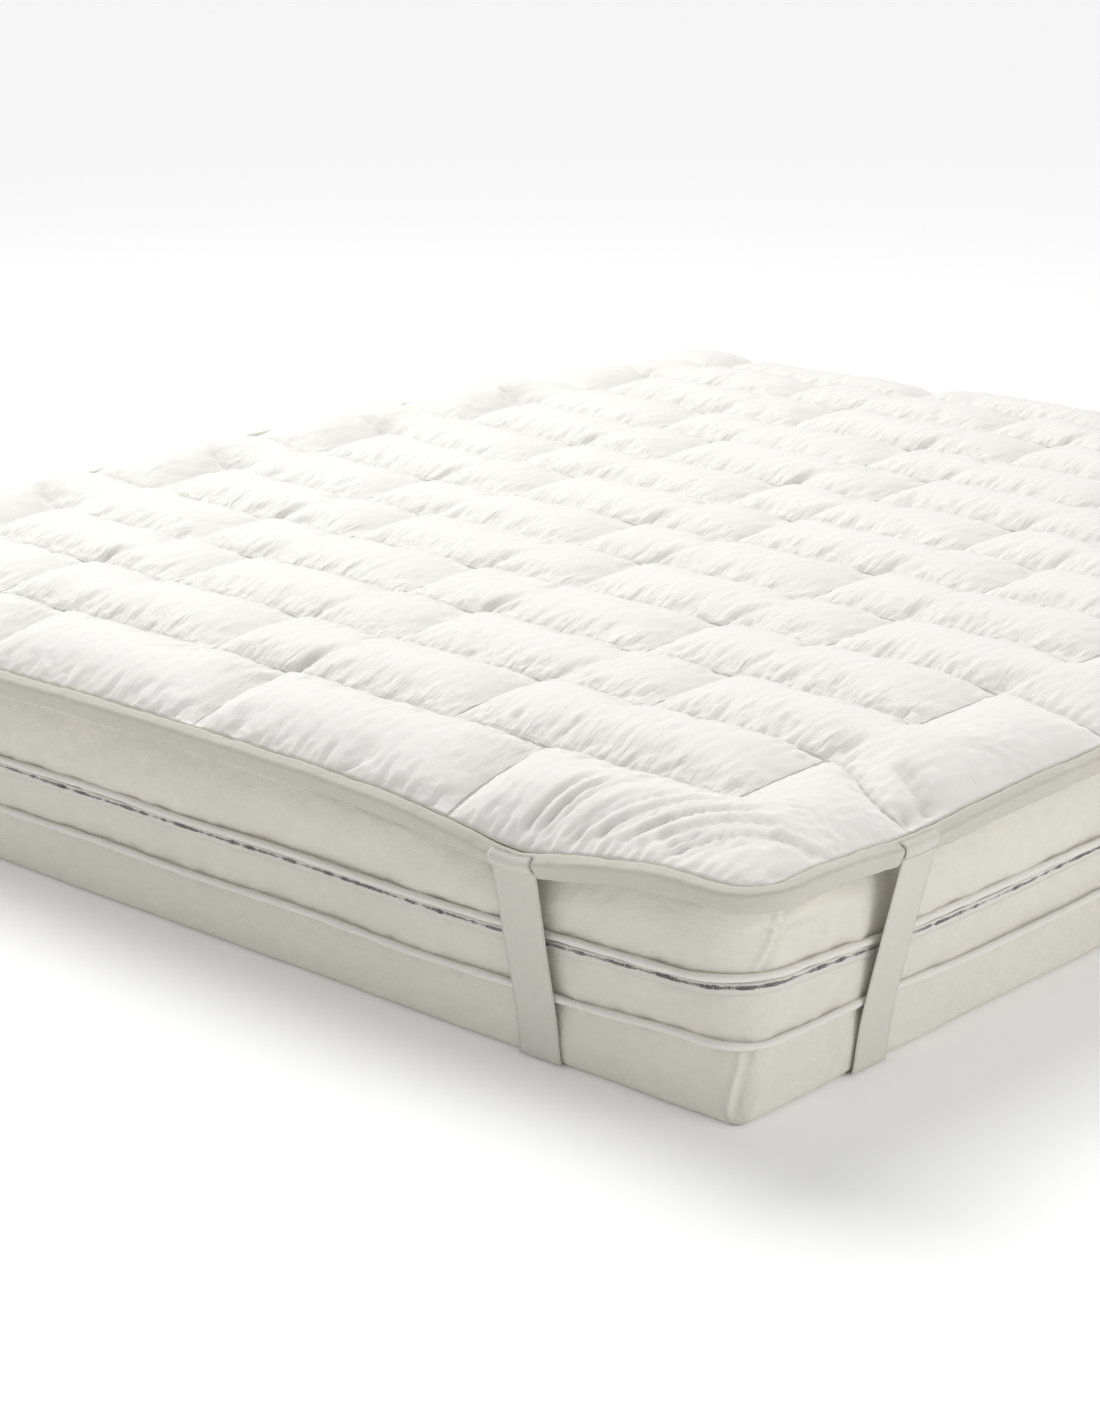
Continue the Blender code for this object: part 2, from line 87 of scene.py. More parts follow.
EDGE_ZONE, EDGE_POWER = 0.25, 1.6
FALL = {
    # the fall of the bed's top over this zone, and where the topper's edge lies: between
    # the straps (level at the -X end), at a strap and at a corner
    "end": {
        "free": dict(depth=0.038, length=0.290, edge=0.815),
        "level": dict(depth=0.000, length=0.290, edge=0.826),
        "strap": dict(depth=0.042, length=0.270, edge=0.812),
        "corner": dict(depth=0.014, length=0.290, edge=0.826),
    },
    "side": {
        "free": dict(depth=0.045, length=0.290, edge=0.958),
        "strap": dict(depth=0.060, length=0.262, edge=0.957),
        "corner": dict(depth=0.030, length=0.290, edge=0.962),
    },
}
STRAP_TOP_AT = dict(side=HALF_WIDTH - 0.262, end=HALF_LENGTH - 0.227)
STRAP_FOOT_AT = dict(side=HALF_WIDTH - 0.245, end=HALF_LENGTH - 0.196)
PULL_INWARD, PULL_OUTWARD = 0.15, 0.10
CORNER_ZONE = 0.20


def smooth(value):
    """3 s^2 - 2 s^3 of a value held between 0 and 1."""
    value = np.clip(value, 0.0, 1.0)
    return value * value * (3.0 - 2.0 * value)


def strap_pull(place, strap):
    """1 / (1 + (distance / spread)^2): 1 at a strap, fading to both sides of it."""
    away = np.abs(place) - strap
    spread = np.where(away > 0.0, PULL_OUTWARD, PULL_INWARD)
    return 1.0 / (1.0 + (away / spread) ** 2)


def fall_at(side, place, key, between="free"):
    """One measure of the fall at a place along an edge: from its value between the straps
    to that at a strap by the strap's pull, and to that at the corner by a smooth step."""
    free, at_strap, at_corner = (FALL[side][where][key]
                                 for where in (between, "strap", "corner"))
    corner = HALF_WIDTH if side == "side" else HALF_LENGTH
    level = smooth((np.abs(place) - (corner - CORNER_ZONE)) / CORNER_ZONE)
    value = free + (at_strap - free) * strap_pull(place, STRAP_TOP_AT[side])
    return value * (1.0 - level) + at_corner * level


def end_fall_at(x, y, key):
    """The same for whichever end is nearer to x."""
    return np.where(x < 0.0, fall_at("end", y, key, "level"), fall_at("end", y, key))


def profile(past, depth, length):
    """depth * (1 - (1 - s^p)^(1/p)), where s is the share of the length gone past."""
    part = np.clip(past / length, 0.0, 1.0)
    return depth * (1.0 - (1.0 - part ** EDGE_POWER) ** (1.0 / EDGE_POWER))


def edge_fall(x, y):
    """How far the bed's top has fallen, towards its ends and its long sides together."""
    past_end = np.abs(x) - (HALF_WIDTH - EDGE_ZONE)
    past_side = np.abs(y) - (HALF_LENGTH - EDGE_ZONE)
    to_end = profile(past_end, end_fall_at(x, y, "depth"), end_fall_at(x, y, "length"))
    to_side = profile(past_side, fall_at("side", x, "depth"), fall_at("side", x, "length"))
    return to_end + to_side


def swell(x, y, pitch, seed, waves=28):
    """Even random swell of unit spread: a sum of sine waves of about one pitch, each in
    its own direction and phase."""
    draw = np.random.default_rng(seed)
    total = 0.0
    for angle, phase, share in zip(draw.uniform(0.0, math.tau, waves),
                                   draw.uniform(0.0, math.tau, waves),
                                   draw.uniform(0.7, 1.5, waves)):
        across = x * math.cos(angle) + y * math.sin(angle)
        total = total + np.sin(across * share * math.tau / pitch + phase)
    return total * math.sqrt(2.0 / waves)


RING_STEP, FINE_STEP, FINE_RUN, ARC_STEPS = 0.0130, 0.0038, 0.17, 48


def run_shares(length):
    """Shares of a straight run from its middle to its corner, close to each other over the
    last FINE_RUN, without the run's end."""
    turn = 1.0 - FINE_RUN / length
    coarse = np.linspace(0.0, turn, round((length - FINE_RUN) / RING_STEP), endpoint=False)
    fine = np.linspace(turn, 1.0, round(FINE_RUN / FINE_STEP), endpoint=False)
    return np.concatenate((coarse, fine))


def rounded_ring():
    """Once round a rounded rectangle, anticlockwise from the middle of the +X end.

    Each quarter is a straight run, a quarter turn and a straight run. A point of the ring
    is share * (half sides - radius) + radius * way_out.
    """
    shares, ways = [], []
    for quarter in range(4):
        first, second = ((HALF_LENGTH, HALF_WIDTH) if quarter % 2 == 0
                         else (HALF_WIDTH, HALF_LENGTH))
        run_up, run_off = run_shares(first), run_shares(second)[:0:-1]
        turn = np.linspace(0.0, math.pi / 2.0, ARC_STEPS + 1)
        share = np.concatenate((1.0 + 1j * run_up, np.full(turn.size, 1.0 + 1j),
                                run_off + 1j))
        way = np.concatenate((np.ones(run_up.size), np.exp(1j * turn),
                              np.full(run_off.size, 1j)))
        shares.append(share * 1j ** quarter)
        ways.append(way * 1j ** quarter)
    share, way = np.concatenate(shares), np.concatenate(ways)
    return np.stack([share.real, share.imag], -1), np.stack([way.real, way.imag], -1)


def round_the_side(share, way, height, out):
    """Points of the mattress's side: the ring at each height, pushed out by out."""
    radius = np.interp(height, CORNER_AT_HEIGHT["height"], CORNER_AT_HEIGHT["radius"])
    x = share[:, None, 0] * (HALF_WIDTH - radius) + way[:, None, 0] * (radius + out)
    y = share[:, None, 1] * (HALF_LENGTH - radius) + way[:, None, 1] * (radius + out)
    return x, y


def run_length(x, y):
    """Distance round closed paths, one a column, at each point and back at the start."""
    x, y = np.concatenate([x, x[:1]]), np.concatenate([y, y[:1]])
    length = np.cumsum(np.hypot(np.diff(x, axis=0), np.diff(y, axis=0)), axis=0)
    return np.concatenate([np.zeros_like(x[:1]), length])


def quads(rows, columns, wrap_rows=False, wrap_columns=False):
    """Corner numbers of a grid's faces; a wrapped direction closes on its first line."""
    i = np.arange(rows if wrap_rows else rows - 1)[:, None]
    j = np.arange(columns if wrap_columns else columns - 1)[None, :]
    i_next, j_next = (i + 1) % rows, (j + 1) % columns
    corners = (i * columns + j, i_next * columns + j,
               i_next * columns + j_next, i * columns + j_next)
    return np.stack([np.broadcast_to(c, (i.size, j.size)) for c in corners], -1)


def in_full(count, values):
    """Values in one row of a given length, with zeros for the rest."""
    row = np.zeros(count, dtype=np.float32)
    row[:values.size] = values.ravel()
    return row


def make_piece(name, points, faces, material, uv=None, caps=(), marks=None):
    """A smooth-shaded mesh object at the origin. faces are quads, uv has the place on the
    cloth of each of their corners, caps are faces with any number of corners, and marks
    are named values for the first vertices."""
    mesh = bpy.data.meshes.new(name)
    mesh.from_pydata(points.reshape(-1, 3).tolist(), [],
                     faces.reshape(-1, 4).tolist() + list(caps))
    if uv is not None:
        layer = mesh.uv_layers.new(name="cloth")
        layer.data.foreach_set("uv", in_full(2 * len(mesh.loops), uv))
    for mark, values in (marks or {}).items():
        attribute = mesh.attributes.new(mark, 'FLOAT', 'POINT')
        attribute.data.foreach_set("value", in_full(len(mesh.vertices), values))
    mesh.shade_smooth()
    mesh.materials.append(material)
    piece = bpy.data.objects.new(name, mesh)
    bpy.context.scene.collection.objects.link(piece)
    return piece


def grid_uv(u_lines, v_lines):
    """The place on the cloth of each corner of a grid's faces, from the lines' places."""
    low_u, high_u = u_lines[:-1, None], u_lines[1:, None]
    low_v, high_v = v_lines[None, :-1], v_lines[None, 1:]
    shape = (u_lines.size - 1, v_lines.size - 1)
    corners = ((low_u, low_v), (high_u, low_v), (high_u, high_v), (low_u, high_v))
    return np.stack([np.stack([np.broadcast_to(u, shape), np.broadcast_to(v, shape)], -1)
                     for u, v in corners], 2)


class Pattern:
    """A pattern's nodes, in a material or a group. place is the place on the cloth in
    metres, and a value is a number, a colour or another node's socket."""

    def __init__(self, tree, place=None):
        self.nodes, self.links, self.place = tree.nodes, tree.links, place
        if place is None:
            node = self.nodes.new('ShaderNodeUVMap')
            node.uv_map = "cloth"
            self.place = node.outputs["UV"]

    def feed(self, socket, value):
        """Set a socket to a value, or link it to another socket."""
        if isinstance(value, bpy.types.NodeSocket):
            self.links.new(value, socket)
        else:
            socket.default_value = value

    def fill(self, node, **values):
        """Feed a node's inputs by name."""
        for name, value in values.items():
            self.feed(node.inputs[name], value)
        return node

    def calc(self, operation, *values, clamp=False):
        """The result of a Math node."""
        node = self.nodes.new('ShaderNodeMath')
        node.operation, node.use_clamp = operation, clamp
        for socket, value in zip(node.inputs, values):
            self.feed(socket, value)
        return node.outputs["Value"]

    def noise(self, scale, detail=2.0, distortion=0.0, place=None):
        """Cloudy noise from 0 to 1, with about scale clouds in a metre."""
        node = self.nodes.new('ShaderNodeTexNoise')
        self.fill(node, Scale=scale, Detail=detail, Distortion=distortion,
                  Vector=self.place if place is None else place)
        return node.outputs["Fac"]

    def mix(self, share, first, second):
        """One colour turned into another by a share."""
        node = self.nodes.new('ShaderNodeMix')
        node.data_type = 'RGBA'
        return self.fill(node, Factor=share, A=first, B=second).outputs["Result"]

    def split(self):
        """The place's two parts: along the piece, and across it."""
        node = self.fill(self.nodes.new('ShaderNodeSeparateXYZ'), Vector=self.place)
        return node.outputs["X"], node.outputs["Y"]

    def mark(self, name):
        """The values of a mark on the piece's vertices."""
        node = self.nodes.new('ShaderNodeAttribute')
        node.attribute_name = name
        return node.outputs["Fac"]

    def group(self, group, **values):
        """The outputs of a node group laid on the place."""
        node = self.nodes.new('ShaderNodeGroup')
        node.node_tree = group
        return self.fill(node, Vector=self.place, **values).outputs


def new_group(name, inputs, outputs, kind='NodeSocketFloat'):
    """A shader group laid on a place, with its other inputs' values by name and outputs of
    one kind. Gives the group, its pattern, and the sockets at its start and its end."""
    group = bpy.data.node_groups.new(name, 'ShaderNodeTree')
    group.interface.new_socket("Vector", in_out='INPUT', socket_type='NodeSocketVector')
    for socket, value in inputs.items():
        made = group.interface.new_socket(
            socket, in_out='INPUT',
            socket_type='NodeSocketFloat' if isinstance(value, float) else 'NodeSocketColor')
        made.default_value = value
    for socket in outputs:
        group.interface.new_socket(socket, in_out='OUTPUT', socket_type=kind)
    start = group.nodes.new('NodeGroupInput').outputs
    end = group.nodes.new('NodeGroupOutput').inputs
    return group, Pattern(group, start["Vector"]), start, end


def mottle_group():
    """Uneven cloth colour: two sizes of noise lighten and darken a base colour."""
    group, pattern, start, end = new_group(
        "cloth_mottle", dict(Base=(0.8, 0.8, 0.8, 1.0), Shade=(0.7, 0.7, 0.7, 1.0),
                             Scale=30.0, Amount=0.5), ("Color",), 'NodeSocketColor')
    coarse = pattern.noise(pattern.calc('MULTIPLY', start["Scale"], 0.12), 3.0)
    both = pattern.calc('ADD', coarse, pattern.noise(start["Scale"], 2.0))
    spread = pattern.calc('MULTIPLY_ADD', both, 1.6, -1.1, clamp=True)
    amount = pattern.calc('MULTIPLY', spread, start["Amount"])
    pattern.feed(end["Color"], pattern.mix(amount, start["Base"], start["Shade"]))
    return group


def weave_group():
    """Woven threads: two crossed sets of sine bands, given as a height from 0 to 1."""
    group, pattern, start, end = new_group("cloth_weave", dict(Threads=500.0), ("Height",))
    turn = pattern.calc('MULTIPLY', start["Threads"], math.tau)
    bands = [pattern.calc('SINE', pattern.calc('MULTIPLY', way, turn))
             for way in pattern.split()]
    crossed = pattern.calc('MULTIPLY', *bands)
    pattern.feed(end["Height"], pattern.calc('MULTIPLY_ADD', crossed, 0.5, 0.5))
    return group


cloth_mottle, cloth_weave = mottle_group(), weave_group()


def plain_material(name, colour, roughness, sheen=0.0):
    """A matt material of one colour, and its shader."""
    material = bpy.data.materials.new(name)
    material.use_nodes = True
    shader = material.node_tree.nodes["Principled BSDF"]
    for socket, value in (("Base Color", (*colour, 1.0)), ("Roughness", roughness),
                          ("Specular IOR Level", 0.25), ("Sheen Weight", sheen),
                          ("Sheen Roughness", 0.45)):
        shader.inputs[socket].default_value = value
    return material, shader


class Cloth(Pattern):
    """A cloth's material: a colour mottled with a shade, for printed patterns and painted
    shade to be tinted into it, and more patterns to be embossed on it."""

    def __init__(self, name, colour, shade, clouds, amount, roughness, sheen):
        self.material, self.shader = plain_material(name, colour, roughness, sheen)
        super().__init__(self.material.node_tree)
        self.colour = self.group(cloth_mottle, Base=(*colour, 1.0), Shade=(*shade, 1.0),
                                 Scale=clouds, Amount=amount)["Color"]
        self.feed(self.shader.inputs["Base Color"], self.colour)

    def tint_print_and_shade(self, share, colour):
        """Turn the colour so far into another one by a share: a printed line, and painted
        shade.
        """
        self.colour = self.mix(share, self.colour, (*colour, 1.0))
        self.feed(self.shader.inputs["Base Color"], self.colour)

    def threads(self, number):
        """The height of a weave with a number of threads to the metre."""
        return self.group(cloth_weave, Threads=number)["Height"]

    def emboss(self, *layers):
        """A chain of Bump nodes, each for a height with its depth in metres."""
        last = None
        for height, depth in layers:
            bump = self.fill(self.nodes.new('ShaderNodeBump'), Strength=1.0, Distance=depth,
                             Height=height)
            if last is not None:
                self.feed(bump.inputs["Normal"], last)
            last = bump.outputs["Normal"]
        self.feed(self.shader.inputs["Normal"], last)


def cover_cloth():
    """Off-white knit: rows of small loops, and a faint uneven tone."""
    cloth = Cloth("mattress_cover", COVER_COLOUR, COVER_SHADE, 55.0, 0.75,
                  roughness=0.86, sheen=0.15)
    cloth.emboss((cloth.noise(11.0), 0.0060), (cloth.noise(48.0, 3.0), 0.0026),
                 (cloth.threads(260.0), 0.00030))
    return cloth


def bell(value):
    """exp(-v^2): 1 at 0, fading to both sides."""
    return np.exp(-value ** 2)


def cover_bulge(height):
    """How far each strip stands out: 4 s (1 - s) times its bulge."""
    out = np.zeros_like(height)
    for strip in COVER_STRIPS:
        s = np.clip((height - strip["low"]) / (strip["high"] - strip["low"]), 0.0, 1.0)
        out = out + 4.0 * s * (1.0 - s) * strip["bulge"]
    return out


def soft_line(u, v, start, end, bow, width):
    """A line's influence: 1 on a path from start to end that bows sideways by bow in its
    middle, falling off as a Gaussian of the distance and fading out at both ends."""
    run_u, run_v = end[0] - start[0], end[1] - start[1]
    length = math.hypot(run_u, run_v)
    share = ((u - start[0]) * run_u + (v - start[1]) * run_v) / length ** 2
    aside = ((v - start[1]) * run_u - (u - start[0]) * run_v) / length
    inside = np.clip(share, 0.0, 1.0)
    off_path = aside - 4.0 * bow * inside * (1.0 - inside)
    fade = smooth(inside / 0.2) * smooth((1.0 - inside) / 0.3)
    return fade * bell(off_path / width)


def broad_wave(along, height):
    """Broad waves of the cover, leaning as they go up."""
    return 0.0013 * swell(along, 1.6 * height, 0.36, 3)


def cover_waves(along, height, to_corner):
    """Slack in the cover: broad and narrow waves, puckers that fade away from each piping
    as a Gaussian, and above and below the pipings the ridge of the seam up each corner,
    with a hollow beside it."""
    out = broad_wave(along, height) + 0.0006 * swell(along, 0.5 * height, 0.075, 5)
    for seed, seam in ((7, LOWER_PIPING_HEIGHT), (8, UPPER_PIPING_HEIGHT)):
        near = bell((height - seam) / 0.013)
        out = out + 0.0007 * near * swell(along, 0.3 * height, 0.032, seed)
    outside = (1.0 - smooth((height - LOWER_PIPING_HEIGHT + 0.007) / 0.006)
               + smooth((height - UPPER_PIPING_HEIGHT - 0.005) / 0.006))
    off_seam = to_corner - np.interp(height, CORNER_SEAM["height"], CORNER_SEAM["along"])
    ridge, hollow = bell(off_seam / 0.0030), bell((off_seam - 0.008) / 0.005)
    return out + (0.0034 * ridge - 0.0030 * hollow) * outside


def cover_folds(across, height):
    """Folds in the +X end near its corner at -Y, pressed up by the topper's edge, and the
    joint of the middle strip. across is the place along that end."""
    out = 0.0
    for (at, level), (wide, tall), lift in COVER_SWELLINGS:
        out = out + lift * bell((across - at) / wide) * bell((height - level) / tall)
    for start, end, bow, width, depth in COVER_CREASES:
        out = out - depth * soft_line(across, height, start, end, bow, width)
    in_band = (smooth((height - LOWER_PIPING_HEIGHT) / 0.006)
               * smooth((UPPER_PIPING_HEIGHT - height) / 0.006))
    return out - 0.0012 * bell((across - BAND_SEAM_AT) / 0.0022) * in_band


def corner_rise(to_corner, height):
    """How far up the cover is drawn near a corner: a Gaussian of the distance to it, full
    at the tape and none at the foot and rim."""
    at_tape = smooth(height / 0.10) * smooth((0.235 - height) / 0.09)
    return CORNER_RISE * at_tape * bell(to_corner / CORNER_RISE_REACH)


def distance_to_corner(share, way, along):
    """Signed distance round the side to the middle of the nearest corner's turn, for the
    distances along that each column gives."""
    turning = np.abs(share).min(axis=1) > 0.999
    middles = np.flatnonzero(turning & (np.abs(np.abs(way[:, 0]) - math.sqrt(0.5)) < 1e-6))
    away = along[:, None] - along[middles][None]
    nearest = np.abs(away).argmin(axis=1)[:, None]
    return np.take_along_axis(away, nearest, axis=1)[:, 0]


def length_along(points):
    """Distance from a line's first point to each of its points."""
    steps = np.linalg.norm(np.diff(points, axis=0), axis=-1)
    return np.concatenate(([0.0], np.cumsum(steps)))


def mattress_side(share, way):
    """Rings of the outline from the foot's rounding up to the rim, on the fallen top."""
    foot_turn = np.linspace(0.0, math.pi / 2.0, 6)
    heights = [FOOT_RADIUS * (1.0 - np.cos(foot_turn))]
    outs = [FOOT_RADIUS * (np.sin(foot_turn) - 1.0)]
    for strip in COVER_STRIPS:
        heights.append(np.linspace(strip["low"], strip["high"], strip["rows"] + 1)[1:])
        outs.append(np.zeros(strip["rows"]))
    height, out = np.concatenate(heights), np.concatenate(outs)
    x, y = round_the_side(share, way, height, 0.0)
    along = run_length(x[:, :1], y[:, :1])[:-1]
    to_corner = distance_to_corner(share, way, run_length(x, y)[:-1])
    # the upper strip ends at the fallen rim
    rim = MATTRESS_HEIGHT - edge_fall(x[:, -1:], y[:, -1:]) - RIM_RADIUS
    upper = np.clip((height - UPPER_PIPING_HEIGHT)
                    / (COVER_STRIPS[2]["high"] - UPPER_PIPING_HEIGHT), 0.0, 1.0)
    z = np.where(upper > 0.0, UPPER_PIPING_HEIGHT + upper * (rim - UPPER_PIPING_HEIGHT),
                 height)
    push = cover_bulge(height) + cover_waves(along, height, to_corner) * smooth(height / 0.02)
    push = push + cover_folds(y, height) * smooth((x - 0.70) / 0.08)
    x, y = round_the_side(share, way, height, out + push)
    # slack cloth lifts off the floor here and there
    slack = 0.0016 * (1.0 + np.tanh(swell(along, 0.0, 0.16, 11)))
    slack = slack * bell(height / 0.016) * smooth(height / 0.004)
    return np.stack([x, y, z + corner_rise(to_corner, height) + slack], -1)


def make_mattress():
    """Rings of the outline, carried from the middle of the foot up the side and over the
    rim to the middle of the top."""
    share, way = rounded_ring()
    side = mattress_side(share, way)
    rim_turn = np.linspace(0.0, math.pi / 2.0, 8)[1:]
    inward = RIM_RADIUS * (1.0 - np.cos(rim_turn))
    x, y = round_the_side(share, way, np.full(rim_turn.size, MATTRESS_HEIGHT), -inward)
    z = MATTRESS_HEIGHT - edge_fall(x, y) - RIM_RADIUS * (1.0 - np.sin(rim_turn))
    over = np.stack([x, y, z], -1)
    top_x, top_y = over[:, -1:, 0] * INNER_RINGS, over[:, -1:, 1] * INNER_RINGS
    top = np.stack([top_x, top_y, MATTRESS_HEIGHT - edge_fall(top_x, top_y) - TOP_SINK], -1)
    foot = side[:, :1] * INNER_RINGS[::-1, None]
    points = np.concatenate([foot, side, over, top], axis=1)
    count, rings = points.shape[:2]
    middle = points[:, rings // 2]
    uv = grid_uv(run_length(middle[:, 0], middle[:, 1]), length_along(points[count // 9]))
    first = np.arange(count) * rings
    caps = [first[::-1].tolist(), (first + rings - 1).tolist()]
    return make_piece("mattress_cover", points, quads(count, rings, wrap_rows=True),
                      cover_cloth().material, uv, caps)


mattress = make_mattress()
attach(mattress, "root")
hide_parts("mattress")


# Pipings and tape --------------------------------------------------------------------------
# Cloth-covered cords sewn in between the strips of the cover, and under the upper one a
# woven tape with a broken dark line.

PIPING_RADIUS, PIPING_GAP = 0.004, 0.0006
TAPE_LOW, TAPE_HIGH, TAPE_THICKNESS, TAPE_GAP = 0.1145, 0.1255, 0.0010, 0.0008
TRIM_COLOUR, TAPE_COLOUR = (0.86, 0.845, 0.79), (0.78, 0.765, 0.71)
LINE_ON_TAPE = 0.0070          # height of its dark line above its lower edge
LINE_COLOUR = (0.13, 0.12, 0.118)


def trim_cloth(name="woven_trim", colour=TRIM_COLOUR, threads=420.0, depth=0.0003):
    """Close-woven cotton edging."""
    cloth = Cloth(name, colour, [0.93 * c for c in colour], 90.0, 0.6,
                  roughness=0.8, sheen=0.1)
    cloth.emboss((cloth.noise(60.0), 0.0008), (cloth.threads(threads), depth))
    return cloth


def make_ring(name, points, along, across, cloth):
    """A section carried once round the bed, closed both ways."""
    faces = quads(*points.shape[:2], wrap_rows=True, wrap_columns=True)
    return make_piece(name, points, faces, cloth.material, grid_uv(along, across))


def make_piping(name, node, seam, seed, cloth):
    """A round section carried round the side, a little uneven in height and thickness."""
    share, way = rounded_ring()
    angle = np.linspace(0.0, math.tau, 12, endpoint=False)
    level = np.array([seam])
    along = run_length(*round_the_side(share, way, level, 0.0))
    place = along[:-1]
    radius = PIPING_RADIUS * (1.0 + 0.05 * swell(place, 0.0, 0.05, seed))
    wander = 0.0008 * swell(place, 0.0, 0.30, seed + 1)
    wander = wander + corner_rise(distance_to_corner(share, way, place), seam)
    x, y = round_the_side(share, way, level,
                          PIPING_RADIUS + PIPING_GAP + radius * np.cos(angle))
    points = np.stack([x, y, seam + wander + radius * np.sin(angle)], -1)
    round_section = np.linspace(0.0, math.tau * PIPING_RADIUS, angle.size + 1)
    piping = make_ring(name, points, along[:, 0], round_section, cloth)
    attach(piping, "root")
    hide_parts(node)


def tape_cloth():
    """The trim's weave with a fine dark line along it, uneven in width and broken into
    specks."""
    cloth = trim_cloth("side_tape_cloth", TAPE_COLOUR, 700.0, 0.0002)
    calc = cloth.calc
    off_middle = calc('ABSOLUTE', calc('SUBTRACT', cloth.split()[1], LINE_ON_TAPE))
    swelling = cloth.noise(75.0, 1.0)
    half_width = calc('MULTIPLY_ADD', swelling, 0.0034, -0.0001)
    in_line = calc('MULTIPLY', calc('SUBTRACT', half_width, off_middle), 2200.0, clamp=True)
    broken = calc('MULTIPLY_ADD', swelling, 3.0, -4.1)
    inked = calc('MULTIPLY_ADD', cloth.noise(800.0), 7.0, broken, clamp=True)
    cloth.tint_print_and_shade(calc('MULTIPLY', inked, in_line), LINE_COLOUR)
    return cloth


def make_tape():
    """A flat section, hugging the middle strip of the cover."""
    share, way = rounded_ring()
    front = np.linspace(TAPE_LOW, TAPE_HIGH, 5)
    height = np.concatenate((front, front[::-1]))
    lift = np.repeat((TAPE_THICKNESS, 0.0), front.size)
    along = run_length(*round_the_side(share, way, height, 0.0))
    to_corner = distance_to_corner(share, way, along[:-1])
    foot_along = run_length(*round_the_side(share, way, np.zeros(1), 0.0))[:-1]
    out = cover_bulge(height) + broad_wave(foot_along, height) + lift + TAPE_GAP
    x, y = round_the_side(share, way, height, out)
    points = np.stack([x, y, height + corner_rise(to_corner, height)], -1)
    width = TAPE_HIGH - TAPE_LOW
    across = np.concatenate((front - TAPE_LOW, [width + TAPE_THICKNESS],
                             np.full(front.size, width + 2.0 * TAPE_THICKNESS)))
    tape = make_ring("woven_tape", points, along[:, 0], across, tape_cloth())
    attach(tape, "root")
    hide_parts("side_tape")


trim = trim_cloth()
make_piping("piping_above_tape", "upper_piping", UPPER_PIPING_HEIGHT, 21, trim)
make_piping("piping_below_tape", "lower_piping", LOWER_PIPING_HEIGHT, 31, trim)
make_tape()


# Topper ------------------------------------------------------------------------------------
# Two layers of white cotton with loose filling between them. Stitched lines run along the
# bed, and short ones across it, staggered like bricks, so the filling stands up in oblong
# puffs whose cloth gathers along the stitching.

ROW_PITCH, CHANNEL_PITCH = 0.186, 0.1484
ROW_COUNT, CHANNEL_COUNT = 9, 13
LINE_SHIFT = 0.137
SEAM_THICKNESS, EDGE_THICKNESS = 0.010, 0.012
CROWN = 0.016
# a channel's waist at the row lines that pass it by: depth as a share of its crown, half
# width at its seams, and how much wider it is in the middle
WAIST = dict(depth=0.24, half_width=0.017, wider=0.022)
# the crease beside a waist, and how fast it widens on its way from the channel seam
JUNCTION = dict(depth=0.0075, run=0.055, hook=0.016, width=0.0040, widening=0.07)
WRINKLES = dict(depth=0.0012, pitch=0.018, bow=0.016)
STEEP_SLOPE, LONG_SLOPE, END_SLOPE = 0.015, 0.034, 0.022      # up from the stitching
CREST_BACK = 1.25              # above 1 the crest lies behind the middle of the channel
CHANNEL_BORDER_CROWN = 1.20
# crowns of the double cells at the +X and -X ends, and the share of it that a narrow one has
DOUBLE_CROWN = dict(near=1.25, far=1.85, narrow=0.72)
CHANGE_OVER = 0.075            # past the outer row lines, from single to double cells
CORNER_ROUNDING = 0.045
EDGE_LIFT, REST_GAP = 0.0025, 0.0004
# steps in each cell of the mesh, finer towards the corner at +X -Y; the underside has
# every fourth line, so both sums divide by four
ROW_STEPS = (24, 44, 24, 46, 26, 50, 28, 62, 40)
CHANNEL_STEPS = (24, 22, 24, 20, 20, 20, 20, 20, 18, 18, 18, 18, 18)
UNDERSIDE_EVERY = 4
TOPPER_COLOUR, TOPPER_SHADE = (0.86, 0.844, 0.803), (0.83, 0.813, 0.770)
# painted shade: how much of the grey is painted into the deepest creases, into the band beside
# each stitched line and onto the stitched line
PAINTED_SHADE = dict(colour=(0.62, 0.605, 0.565), crease=0.45, hollow=0.35, line=0.45)
# half widths of the stitched line, of the band of painted shade beside it and of the thread,
# and a stitch's length
SEAM = dict(line=0.0026, hollow=0.012, thread=0.0004, stitch=0.0036)
# at the +X end the strap draws the channel seam beside it towards itself
DRAWN_SEAM = dict(at=-4.5 * CHANNEL_PITCH, by=0.050, reach=0.085, run=0.120)
# painted shade: a crease is painted at its darkest from this depth on
CREASE_SHADE_DEPTH = 0.0065           # depth at which a crease is at its darkest


def row_lines():
    """Places of the row lines across the bed, from edge to edge."""
    number = np.arange(1, ROW_COUNT)
    shift = np.where(number % 2 == 1, -LINE_SHIFT, LINE_SHIFT)
    edge = FALL["end"]["free"]["edge"]
    inner = (number + shift - ROW_COUNT / 2.0) * ROW_PITCH
    return np.concatenate(([-edge], inner, [edge]))


def channel_lines():
    """Places of the channel lines along the bed, from edge to edge."""
    inner = (np.arange(1, CHANNEL_COUNT) - CHANNEL_COUNT / 2.0) * CHANNEL_PITCH
    edge = FALL["side"]["free"]["edge"]
    return np.concatenate(([-edge], inner, [edge]))


def stations(steps, closer):
    """Line numbers with fractions: each cell's even steps s, drawn closer to its seams as
    s - closer * sin(2 pi s) / (2 pi)."""
    lines = []
    for cell, count in enumerate(steps):
        s = np.arange(count) / count
        lines.append(cell + s - closer * np.sin(math.tau * s) / math.tau)
    return np.append(np.concatenate(lines), float(len(steps)))


def stretch_border(place, lines, edge):
    """Scale the border cell so that it ends at the edge instead of at the last line."""
    inner, outer = lines[-2], lines[-1]
    share = np.maximum(np.abs(place) - inner, 0.0) / (outer - inner)
    return np.where(share > 0.0, np.sign(place) * (inner + share * (edge - inner)), place)


